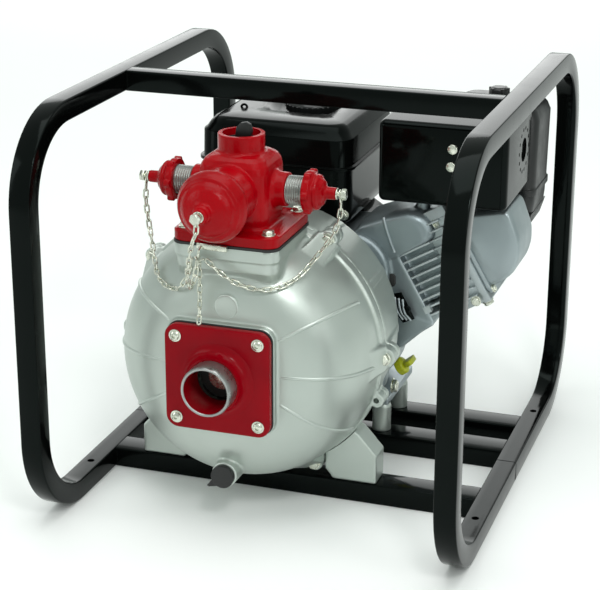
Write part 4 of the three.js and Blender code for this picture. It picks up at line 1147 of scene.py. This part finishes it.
def front_cap():
    """A large domed cap with steps, and a stem in its middle."""
    back = FRONT_CAP_HIGH.y
    stem = FRONT_CAP_LOW.y
    profile = rounded_profile([
        (0, back), (35.6, back), (35.6, back - 11), (40.6, back - 13), (41.4, back - 17), (39.4, back - 22.5),
        (37.4, back - 25.6), (36, back - 29), (33.4, back - 30), (31.6, back - 31.4), (29.8, back - 35),
        (25, back - 39.4), (18.6, back - 42.2), (13, back - 44), (10.8, back - 46), (10.6, back - 49.4),
        (9.0, back - 51), (8.6, stem + 1), (7.4, stem), (0, stem),
    ], 1.8, 4)
    cap = turned(profile, Vector((PUMP_X, 0, OUTLET_Z)), Y, 96)
    simple("front_cap_casting", cap, "red_paint", "front_cap", ("front_cap",), degrees=45)


def neck_plug():
    """A shallow cup in the neck with a leaning tab to pull it by."""
    low, high = in_mm("neck_plug")
    centre = Vector((PUMP_X, DISCHARGE_Y, low.z))
    cup = rounded_profile([(0, 0), (21.6, 0), (22, 6), (20.5, 6), (20, 2), (0, 2)], 0.8)
    lean = Matrix.Translation(centre + Vector((2, 0, 5))) @ Matrix.Rotation(math.radians(9), 4, "Y")
    height = high.z - low.z - 6
    outline = [
        (-9, -3), (9, -3), (9.6, height * 0.62), (6.2, height * 0.93), (1, height), (-5, height * 0.9),
        (-9.4, height * 0.6),
    ]
    tab = hull([lean @ Vector((dx, dy, dz)) for dy in (-3.2, 2.6) for dx, dz in outline])
    plug = merged(turned(cup, centre, Z, 64), tab)
    simple("neck_plug_tab", plug, "black_plastic", "neck_plug", ("neck_plug",), bevel=0.5)


def chain_hook():
    """A thin plate with an eye that holds a ring for the chains."""
    low, high = in_mm("chain_hook")
    strip = [
        Vector((low.x + 1, high.y - 2.2, high.z - 3.6)), Vector((low.x + 14, high.y - 2.4, high.z - 4)),
        Vector((high.x - 1, high.y - 2.2, high.z - 4.6)),
    ]
    plate = swept(curve_through(strip, 2), rectangle(3.2, 7, 1.2, steps=2), up=Z)
    eye = wire([
        (-66, -236, 346), (-66, -240, 343), (-66.5, -241.5, 338), (-67, -239.6, 334.6), (-67.4, -236.4, 335),
    ], 1.7, 1.5)
    ring = wire([(-72, -237, 334), (-67, -239.5, 330.5), (-61, -237, 333)], 1.3, 1.5)
    simple("chain_hook_plate", merged(plate, eye, ring), "zinc", replaces=("chain_hook",), degrees=45)


def discharge_side():
    manifold()
    threaded_nipple("left_nipple", -1)
    threaded_nipple("right_nipple", 1)
    side_cap("left_cap", -1)
    side_cap("right_cap", 1)
    front_cap()
    for side, sign in (("left", -1), ("right", 1)):
        stem = OUTLET + X * sign * 113.9
        top = Vector(CHAIN_ROUTES[side + "_chain"][0])
        cap_screw(side + "_cap_bolt", side + "_cap_screw", stem, X * sign, [top])
    stem = Vector((PUMP_X, FRONT_CAP_LOW.y, OUTLET_Z))
    top = Vector(CHAIN_ROUTES["front_chain"][0])
    cap_screw("front_cap_bolt", "front_cap_screw", stem, -Y, [top + Vector((0.4, 0.6, 8.6)), top])
    neck_plug()
    chain_hook()


# ---------------------------------------------------------------- engine block

def along_cylinder(shape):
    """Lays a shape made along +X along the cylinder, which leans to the right of the crankshaft."""
    place = Matrix.Translation((PUMP_X, CYLINDER_Y, PUMP_Z)) @ Matrix.Rotation(-CYLINDER_TILT, 4, "Y")
    return moved(shape, place)


CRANKCASE_RADIUS = 163


def crankcase_outline(inset=0.0):
    """A rounded rectangle about the crank axis, kept within a disc."""
    left, right = PUMP_X - 120 + inset, PUMP_X + 128 - inset
    low, high = COVER_LOW.z + inset, COVER_HIGH.z - inset
    corners = rectangle(right - left, high - low, 46, ((left + right) / 2, (low + high) / 2), steps=10)
    path = [Vector(p) for p in corners + corners[:1]]
    middle = Vector((PUMP_X, PUMP_Z))
    out = []
    for p in spaced_points(path, 140)[:-1]:
        away = p - middle
        out.append(tuple(middle + away.normalized() * min(away.length, CRANKCASE_RADIUS - inset)))
    return out


def softened(points, radius, steps=5):
    """Rounds every corner of a closed outline."""
    ring = rounded_profile([*points[-1:], *points, *points[:1]], radius, steps)
    return ring[1:-1]


def shrunk(outline, share, anchor=None):
    """An outline drawn in towards a point, which is its middle unless given."""
    if anchor is None:
        anchor = sum((Vector(p) for p in outline), Vector((0, 0))) / len(outline)
    return [tuple(anchor + (Vector(p) - anchor) * share) for p in outline]


def block_shoulder():
    """The rounded bulge beside the cylinder, under the exhaust."""
    side = softened([
        (38, 284), (92, 268), (143, 300), (141, 312), (134, 324), (124, 331), (108, 334), (78, 324),
        (38, 308),
    ], 12)
    front = BLOCK_LOW.y
    anchor = Vector((52, 272))
    levels = [(0, 0.84), (2, 0.90), (6, 0.95), (12, 0.985), (20, 1.0), (100 - front, 1.0)]
    return loft([on_y(shrunk(side, share, anchor), front + depth) for depth, share in levels])


def crankcase_side_cover():
    cover = merged(
        prism(crankcase_outline(3), COVER_LOW.y, COVER_HIGH.y - 4, on_y),
        prism(crankcase_outline(), COVER_HIGH.y - 9, COVER_HIGH.y, on_y),
    )
    piece = fused("crankcase_side_cover", cover, "engine_aluminium", 1.9, 3)
    finish_piece(piece, replaces=("crankcase_cover",), degrees=50)


def fins(start, end, reach):
    """The cooling fins, from one distance along the cylinder to another."""
    half = FIN_THICKNESS / 2
    return [box((start, -reach, height - half), (end, reach, height + half)) for height in FIN_HEIGHTS]


def engine_block():
    front = BLOCK_LOW.y
    underside = [(70, 150), (104, 154), (128, 177), (144, 189), (100, 200), (70, 190)]
    shape = merged(
        prism(crankcase_outline(), front, front + 8, on_y),
        prism(crankcase_outline(6), front + 4, 125, on_y),
        block_shoulder(),
        prism(underside, front, 110, on_y),
        box((-135, 25, BLOCK_LOW.z + 0.3), (84, 145.5, BLOCK_LOW.z + 11)),
        disc(9, 318, 344.6, Vector((119.5, 42, 0)), Z, 32),
        along_cylinder(box((BARREL_START, -38, -70), (BARREL_END, 45, 37))),
        along_cylinder(box((BARREL_START, -54, -94), (FIN_START, 54, 20))),
    )
    piece = fused("engine_block_casting", shape, "engine_aluminium", 1.9, 3)
    lug = box((FIN_START - 3, -58, -79), (FIN_START + 6, -50, -70))
    seam = [(76, front + 2, 322), (80, front - 0.6, 310), (86, front - 0.6, 293), (91, front + 1, 279)]
    barrel = along_cylinder(merged(*fins(FIN_START - 2, BARREL_END, 52), lug))
    with_more(piece, merged(barrel, wire(seam, 2.2, 3)))
    finish_piece(piece, replaces=("cylinder_block",), degrees=50)


def cylinder_head():
    core = box((HEAD_START, -45, -97), (HEAD_END, 45, 35))
    rim = box((HEAD_END - 9, -48, -98), (HEAD_END, 48, 22))
    shape = along_cylinder(merged(*fins(HEAD_START, HEAD_END - 11, 52), core, rim))
    simple("head_casting", shape, "engine_aluminium", replaces=("cylinder_head",), bevel=0.7, degrees=40)
    bolts = [hex_bolt(Vector((222, -52, h)), -Y, 6, 0.2) for h in (-90, -47)]
    bolts.append(hex_bolt(Vector((230, -36, -98)), -Z, 7, 0.3))
    fasteners("head_side_bolts", along_cylinder(merged(*bolts)))


def valve_cover():
    """A plain wedge-shaped box on a flat rim, held by four bolts."""
    near = HEAD_END + 1
    side = softened([
        (near, -85), (262, -84), (278, -79), (292, -66), (303, -46), (309, -8), (303, -3), (251, 13),
        (near, 14),
    ], 8)
    # Half of the levels across the cover: distance from its middle, and share of its side view.
    half = [(42, 0.86), (40.6, 0.93), (37, 0.98), (31, 1.0)]
    rings = []
    for y, share in [(-y, share) for y, share in half] + half[::-1]:
        rings.append([Vector((max(d, near), y, h)) for d, h in shrunk(side, share)])
    rim = prism(rectangle(88, 110, 12, (0, -37), steps=8), HEAD_END + 0.4, HEAD_END + 6, on_x)
    shape = along_cylinder(merged(loft(rings), rim))
    simple("valve_cover_box", shape, "engine_aluminium", replaces=("valve_cover",), bevel=0.6, degrees=40)
    bolts = [hex_bolt(Vector((HEAD_END + 6, y, h)), X, 4.6, 0.4) for y in (-39, 39) for h in (-87, 13)]
    fasteners("valve_cover_bolts", along_cylinder(merged(*bolts)))


def block_fittings():
    """Bolts and a plugged port on the side that faces the pump."""
    out = Vector((0.8, -0.2, 0.56)).normalized()
    fasteners(
        "block_bolts",
        hex_bolt(Vector((139, 26, 317)), out, 6),
        hex_bolt(Vector((86, 36, 92)), X, 9, 0.4),
        hex_bolt(Vector((60, -15, 286)), -Y, 6),
    )
    front = BLOCK_LOW.y
    port = prism(rectangle(11, 17, 5.4, (88, 242), steps=6), front - 1.2, front + 3, on_y)
    simple("crankcase_port_plug", port, "black_rubber", bevel=0.8)


def governor():
    """A small plate with a pivot and three bent rods over it."""
    front = BLOCK_LOW.y
    plate = [(93, 227), (103, 230), (112, 214), (121, 197), (106, 190), (94, 206)]
    pivot = turned([(0, 0), (6, 0), (6, 7), (0, 7)], Vector((110, front - 12, 208)), Y, 24)
    bracket = merged(prism(plate, front - 7, front - 5, on_y), pivot)
    simple("governor_bracket", bracket, "black_paint", bevel=0.4)
    rods = []
    for i in range(3):
        bend = [(95, front - 7, 223 - i), (99, front - 12, 209 - i), (106, front - 7, 195)]
        rods.append(wire([(x + 5 * i, y, z) for x, y, z in bend], 1.5, 3))
    simple("governor_rods", merged(*rods), "engine_aluminium", degrees=50)


def spark_plug():
    """The plug in the head's side, its boot, and the lead that goes back to the blower housing."""
    plug_at = along_cylinder(([Vector((222, -45, -30))], []))[0][0]
    body = turned([(0, 0), (6, 0), (6, 8), (4.4, 9), (4.2, 22), (0, 22)], plug_at, -Y, 24)
    fasteners("spark_plug", body, hex_head(plug_at - Y * 2, -Y, 14, 6))
    boot_at = plug_at - Y * 16
    boot = turned(rounded_profile([(0, 0), (7, 0), (7.6, 16), (5.4, 21), (0, 22)], 1.5), boot_at, -Y, 32)
    lead_start = boot_at - Y * 19
    bends = [(0, 0, 0), (1, -3, 12), (3, 8, 34), (5, 30, 62), (6, 66, 73)]
    lead = wire([lead_start + Vector(bend) for bend in bends], 3.2, 4)
    simple("spark_plug_boot", merged(boot, lead), "black_rubber", degrees=40)


# ---------------------------------------------------------------- engine fittings

FILLER = Vector((-54, 130, 0))
DISH_CENTRE = Vector((-60, 136, 0))


def tank_ring(z, inset, radius=26.0):
    size = TANK_HIGH - TANK_LOW
    middle = (TANK_LOW + TANK_HIGH) / 2
    return on_z(rectangle(size.x - 2 * inset, size.y - 2 * inset, radius, middle.xy, steps=10), z)


def fuel_tank():
    """Two pressed halves joined at a seam, with the filler in a round dish in its top."""
    low, seam, crease, top = TANK_LOW.z, 378, 414, TANK_HIGH.z - 0.1
    # Each level of the sides: height, inset, corner radius.
    levels = [
        (low, 16, 16), (low + 1.5, 10, 20), (low + 7, 5.5, 22), (low + 20, 4.6, 24), (seam - 2.2, 4.2, 24),
        (seam - 2.0, 0.2, 26), (seam + 1.6, 0.2, 26), (seam + 1.8, 4.2, 24), (crease - 1, 4.8, 24),
        (crease, 5.4, 24), (crease + 2, 8.0, 24), (crease + 8, 11.5, 24), (top - 3, 16, 22),
        (top - 0.8, 19.5, 20), (top, 23, 18),
    ]
    rings = [tank_ring(*level) for level in levels]
    last = rings[-1]
    # Each ring of the dish: radius, depth, then about which centre.
    dish = [
        (69, 0, DISH_CENTRE), (67, 0.8, DISH_CENTRE), (60, 5.5, DISH_CENTRE), (53, 10, DISH_CENTRE),
        (46, 12, DISH_CENTRE), (30, 12, FILLER), (28, 11.4, FILLER), (27, 9.4, FILLER), (25, 9.0, FILLER),
    ]
    for radius, depth, centre in dish:
        ring = []
        for p in last:
            out = Vector((p.x - DISH_CENTRE.x, p.y - DISH_CENTRE.y, 0))
            ring.append(centre + Z * (top - depth) + out.normalized() * min(radius, out.length - 0.5))
        rings.append(ring)
    piece = build("fuel_tank_shell", loft(rings), "tank_black")
    bevelled(piece, 0.5)
    eyelet = round_about(Vector((-131, 84, top - 1)), X, Z, 4, turns(20))
    with_more(piece, swept(eyelet, circle(1.6, 8), closed=True, up=Y))
    finish_piece(piece, replaces=("fuel_tank",), degrees=50)
    bolts = [hex_bolt(Vector((x, TANK_LOW.y + 4.8, low + 18)), -Y, 6)
             for x in (TANK_LOW.x + 12, TANK_HIGH.x - 9)]
    fasteners("tank_bolts", *bolts)


def fuel_cap():
    """A round cap with a rim of small ribs for the fingers."""
    centre = FILLER + Z * in_mm("fuel_cap")[0].z
    body = rounded_profile([(0, 0), (32.6, 0), (33.4, 11), (29, 15), (12, 15.6), (10, 14), (0, 14)], 1.4)
    rib = [(0, 1), (1.5, 1.4), (1.7, 9.6), (0, 11.4)]
    ribs = [turned(rib, at, Z, 10) for at in round_about(centre, X, Y, 33, turns(30))]
    shape = merged(turned(body, centre, Z, 96), *ribs)
    simple("fuel_cap_body", shape, "gloss_black_plastic", "fuel_cap", ("fuel_cap",), degrees=40)


OUTLET_HOLE = Vector((GUARD_HIGH.x, 101.5, 400))


def muffler_guard():
    """A pressed guard with two screws in front and a ring of holes round the outlet."""
    x0, y0, z0 = GUARD_LOW
    x1, y1, z1 = GUARD_HIGH
    middle = ((x0 + x1) / 2, (z0 + z1) / 2)
    # Each ring of the outside, then of the inside: distance back, inset, corner radius.
    back = y1 - y0
    outside = [(0, 7, 4), (0.8, 4, 5), (3, 1.6, 6), (6, 0.4, 7), (10, 0, 7), (back, 0, 7)]
    inside = [(back, 2, 5), (12, 2, 5), (3, 4, 4), (2.2, 12, 3)]
    rings = []
    for depth, inset, radius in outside + inside:
        outline = rectangle(x1 - x0 - 2 * inset, z1 - z0 - 2 * inset, radius, middle, steps=8)
        rings.append(on_y(outline, y0 + depth))
    piece = build("muffler_guard_shell", loft(rings), "black_paint")
    cut(piece, box((x0 - 5, y0 + 30, z0 - 5), (x1 - 14, y1 + 5, z0 + 5)))
    cut(piece, disc(15, -8, 4, OUTLET_HOLE, X, 32))
    for at in round_about(OUTLET_HOLE, Y, Z, 27, turns(14)):
        cut(piece, disc(2.6, -6, 4, at, X, 16))
    finish_piece(piece, replaces=("muffler_guard",), degrees=40)
    screw = rounded_profile([(0, 0), (6.6, 0), (6.0, 3.2), (0, 4.4)], 1.2)
    screws = [turned(screw, Vector((x, y0, z)), -Y, 32) for x, z in ((163, 418.4), (161.7, 396.6))]
    simple("guard_screws", merged(*screws), "zinc", degrees=40)


def muffler():
    """The can inside the guard, with a seam, the port it hangs from, and its outlet pipe."""
    def ring(y, inset):
        return on_y(rectangle(118 - 2 * inset, 72 - 2 * inset, 26 - inset, (149, 396), steps=8), y)

    can = loft([ring(24, 3), ring(25, 0.6), ring(70, 0), ring(71, 0), ring(121, 0.6), ring(122, 3)])
    seam = loft([ring(71, -1.0), ring(74, -1.0)])
    port = prism(rectangle(24, 30, 6, (150, 70)), in_mm("muffler")[0].z, 361, on_z)
    pipe = turned([(8.5, -25), (11, -25), (11, -4.2), (8.5, -4.2), (8.5, -25)], OUTLET_HOLE, X, 32)
    simple("muffler_can", merged(can, seam, port, pipe), "pipe_steel", replaces=("muffler",), bevel=0.4)


def cleaner_ring(z, inset, radius=15.0):
    size = CLEANER_HIGH - CLEANER_LOW
    middle = (CLEANER_LOW + CLEANER_HIGH) / 2
    return on_z(rectangle(size.x - 2 * inset, size.y - 2 * inset, radius, middle.xy, steps=5), z)


def air_cleaner_cover():
    """A hollow moulded lid, whose rings run from its ceiling down inside and up outside."""
    low, top = CLEANER_LOW.z, CLEANER_HIGH.z
    rings = [
        (top - 4, 20, 10), (top - 8, 12, 12), (top - 18, 4.6, 13), (low + 12, 5, 13), (low, 3.4),
        (low, 0.4), (low + 8, 0.4), (low + 8.6, 2.0), (low + 12, 2.2), (top - 18, 1.0),
        (top - 7, 5, 15), (top - 2.5, 9, 14), (top - 0.6, 13, 13), (top, 17, 12),
    ]
    shape = loft([cleaner_ring(*ring) for ring in rings])
    simple("air_cleaner_cover_shell", shape, "black_plastic", "air_cleaner_cover", ("air_cleaner_cover",),
           bevel=0.6, degrees=30)


def air_cleaner_base():
    """A tray under the filter, and the ribbed intake box below its outer side."""
    low, high = in_mm("air_cleaner_base")
    floor_z = 300
    rings = [(floor_z, 9, 12), (floor_z + 3, 4.5, 14), (floor_z + 14, 3.2), (CLEANER_LOW.z - 0.1, 3.0)]
    tray = loft([cleaner_ring(*ring) for ring in rings])
    side = [(182, floor_z + 2), (233.5, floor_z + 2), (227, 281), (200, low.z), (182, low.z)]
    intake = prism(side, 150, high.y - 0.5, on_y)
    rib_ends = ((258, 206.5), (268, 214.8), (278, 222.8), (290, 229.5))
    ribs = [box((183, 148.6, z), (x, high.y, z + 2)) for z, x in rib_ends]
    shape = merged(tray, intake, *ribs)
    simple("air_cleaner_tray", shape, "black_plastic", replaces=("air_cleaner_base",), bevel=0.6, degrees=30)


def foot_of(node):
    """The middle of the underside of a node's box."""
    low, high = in_mm(node)
    middle = (low + high) / 2
    return Vector((middle.x, middle.y, low.z))


def air_cleaner_knob():
    centre = foot_of("air_cleaner_knob")
    knob = rounded_profile([(0, 0.1), (9, 0.1), (13, 4), (12.4, 11.6), (9, 14), (0, 14)], 1.2)
    grips = [disc(2.6, 2.4, 13, at, Z, 12) for at in round_about(centre, X, Y, 11, turns(6))]
    shape = merged(turned(knob, centre, Z, 48), *grips)
    simple("air_cleaner_wing_knob", shape, "black_plastic", "air_cleaner_knob", ("air_cleaner_knob",),
           bevel=0.3)


def carburettor():
    body = box((140, 126, 258), (170, 176, 288))
    throat = disc(15, 270, in_mm("carburettor")[1].z - 0.3, Vector((155, 176, 0)), Z, 48)
    bowl = rounded_profile([(0, 236), (12, 236), (17, 241), (17, 260), (0, 260)], 2)
    bowl = turned(bowl, Vector((157, 150, 0)), Z, 48)
    flange = box((138.6, 168, 262), (171.6, 172, 290))
    piece = fused("carburettor_casting", merged(body, throat, bowl, flange), "engine_aluminium", 1.0, 2)
    finish_piece(piece, replaces=("carburettor",), degrees=50)
    fasteners("carburettor_bowl_nut", hex_head(Vector((157, 150, 236)), -Z, 10, 4))


def carburettor_lever(name, height, length, degrees):
    """An arm on a hub, turned down by some degrees about its pivot."""
    low, high = in_mm(name)
    pivot = Vector((180, (low.y + high.y) / 2, height))
    hub = disc(5.9, -1.9, 1.9, pivot, Y, 32)
    arm = prism(rectangle(length + 2, 7, 3.4, (length / 2 - 1, 0), steps=6), -1.4, 1.4, on_y)
    turn = Matrix.Translation(pivot) @ Matrix.Rotation(math.radians(-degrees), 4, "Y")
    simple(name + "_arm", merged(hub, moved(arm, turn)), "black_plastic", name, (name,), bevel=0.4)


def dipstick():
    tilt = Matrix.Translation((94, 36, 118)) @ Matrix.Rotation(math.radians(-35), 4, "Y")
    collar = rounded_profile([(0, 0), (11.4, 0), (11.4, 8.8), (6.8, 12), (0, 12)], 1.2)
    collar = turned(collar, Vector(), X, 40)
    outline = [(9, -6), (9, 6), (16, 12), (22, 12.6), (23.6, 8), (23.6, -8), (22, -12.6), (16, -12)]
    wing = hull([Vector((dx, dy, dz)) for dz in (-3.4, 3.4) for dx, dy in outline])
    piece = build("dipstick_cap", moved(merged(collar, wing), tilt), "yellow_plastic")
    bevelled(piece, 0.9, 3)
    finish_piece(piece, "dipstick", ("dipstick",), 40)


def blower():
    """The cowl round the flywheel, with a box that carries the air to the cylinder."""
    low, high = in_mm("blower_housing")
    front, back = low.y, high.y
    drum = [(0, front), (117.6, front), (117.6, back - 8), (113, back - 1), (109, back), (0, back)]
    duct = rectangle(116, 90, 25, (78, 250), steps=6)
    shape = merged(turned(drum, PUMP_AXIS, Y, 96), prism(duct, front, back - 22.5, on_y))
    piece = fused("blower_cowl", shape, "black_paint", 1.8, 2)
    cut(piece, box((-190, front - 5, -50), (200, back + 5, low.z)))
    cut(piece, disc(81, back - 14, back + 3, PUMP_AXIS, Y, 64))
    finish_piece(piece, replaces=("blower_housing",), degrees=45)


def recoil_cover():
    """A domed cover with a ring of air slots, held by three bolts."""
    low, high = in_mm("recoil_housing")
    front, back = low.y, high.y
    dome = rounded_profile([
        (82, front), (99.6, front), (99.6, front + 3), (97, front + 6), (96, front + 12), (92, front + 28),
        (70, back), (30, back), (28, back - 2.5), (0, back - 2.5), (0, back - 6), (66, back - 4),
        (86, front + 24), (90, front + 10), (82, front + 3),
    ], 2.0, 3)
    piece = build("recoil_cover", turned(dome, PUMP_AXIS, Y, 96), "black_paint")
    slot = prism(rectangle(26, 5, 2.4, (51, 0), steps=3), back - 12, back + 5, on_y)
    for angle in turns(18, 0.17):
        place = Matrix.Translation(PUMP_AXIS) @ Matrix.Rotation(-angle, 4, "Y")
        cut(piece, moved(slot, place))
    finish_piece(piece, replaces=("recoil_housing",), degrees=35)
    bolt_circle = round_about(PUMP_AXIS + Y * (front + 3), X, Z, 98.4, turns(3, math.radians(60)))
    fasteners("recoil_bolts", *(hex_bolt(at, Y, 4.4) for at in bolt_circle))


def recoil_grip():
    """A bowed rubber handle with rounded ends, on a short neck."""
    low, high = in_mm("recoil_grip")
    x, z = (low.x + high.x) / 2, (low.z + high.z) / 2
    rings = []
    for dx in range(-36, 37, 4):
        share = dx / 38
        radius = 8.4 - 1.2 * abs(math.sin(share * math.pi))
        radius *= math.sqrt(max(0.15, 1 - share ** 6))
        middle = Vector((x + dx, low.y + 20 + 2.5 * share ** 2, z))
        rings.append([middle + Y * a * radius * 0.8 + Z * b * radius for a, b in circle(1, 20)])
    neck = turned([(0, 0), (9.6, 0), (6.4, 6), (6, 14), (0, 14)], Vector((x, low.y, z)), Y, 32)
    handle = merged(loft(rings), neck)
    simple("recoil_handle", handle, "black_rubber", "recoil_grip", ("recoil_grip",), degrees=50)


def engine_post(name):
    low, high = in_mm(name)
    height = high.z - low.z
    profile = rounded_profile([(0, 0), (12.2, 0), (12.2, height * 0.8), (9, height), (0, height)], 1.4)
    simple(name + "_casting", turned(profile, foot_of(name), Z, 40), "cast_aluminium", replaces=(name,))


def engine():
    crankcase_side_cover()
    engine_block()
    cylinder_head()
    valve_cover()
    block_fittings()
    governor()
    spark_plug()
    fuel_tank()
    fuel_cap()
    muffler_guard()
    muffler()
    air_cleaner_cover()
    air_cleaner_base()
    air_cleaner_knob()
    carburettor()
    carburettor_lever("choke_lever", 272, 34, 20)
    carburettor_lever("throttle_lever", 256, 44, -20)
    dipstick()
    blower()
    recoil_cover()
    recoil_grip()
    for name in ("front_left_post", "front_right_post", "rear_left_post", "rear_right_post"):
        engine_post(name)


# ---------------------------------------------------------------- surroundings

def floor():
    bpy.ops.mesh.primitive_plane_add(size=30, location=(0, 0, -0.0002))
    plane = bpy.context.object
    plane.name = "floor"
    f = Finish("floor", (0.93, 0.94, 0.93), 0.75)
    f.rough(f.noise(3), 0.05)
    plane.data.materials.append(f.material)


def area_light(name, place, aim_height, size, power):
    """A rectangular light that looks at a point over the origin."""
    light = bpy.data.lights.new(name, "AREA")
    light.shape = "RECTANGLE"
    light.size, light.size_y = size
    light.energy = power
    lamp = bpy.data.objects.new(name, light)
    bpy.context.scene.collection.objects.link(lamp)
    lamp.location = place
    lamp.rotation_euler = (Vector((0, 0, aim_height)) - Vector(place)).to_track_quat("-Z", "Y").to_euler()


def studio():
    world = bpy.data.worlds.new("studio")
    bpy.context.scene.world = world
    world.use_nodes = True
    background = world.node_tree.nodes["Background"]
    background.inputs["Color"].default_value = (0.86, 0.94, 0.90, 1)
    background.inputs["Strength"].default_value = 0.72
    area_light("top_softbox", (0.1, -0.3, 2.6), 0.2, (2.0, 2.0), 26)
    area_light("key_light", (1.0, -1.7, 2.1), 0.3, (0.4, 0.4), 13)
    area_light("left_softbox", (-2.2, -1.8, 1.5), 0.25, (1.0, 1.6), 10)
    area_light("right_softbox", (2.3, -1.4, 1.5), 0.25, (0.9, 1.6), 12)
    area_light("back_softbox", (-1.4, 4.6, 1.9), 0.35, (5.0, 2.2), 64)
    bpy.context.scene.view_settings.view_transform = "Standard"


add_camera()
dress_cad_nodes()
chains()
frame_pieces()
pump_casing()
rim_bolts()
rear_bracket()
suction_side()
discharge_side()
engine()
floor()
studio()
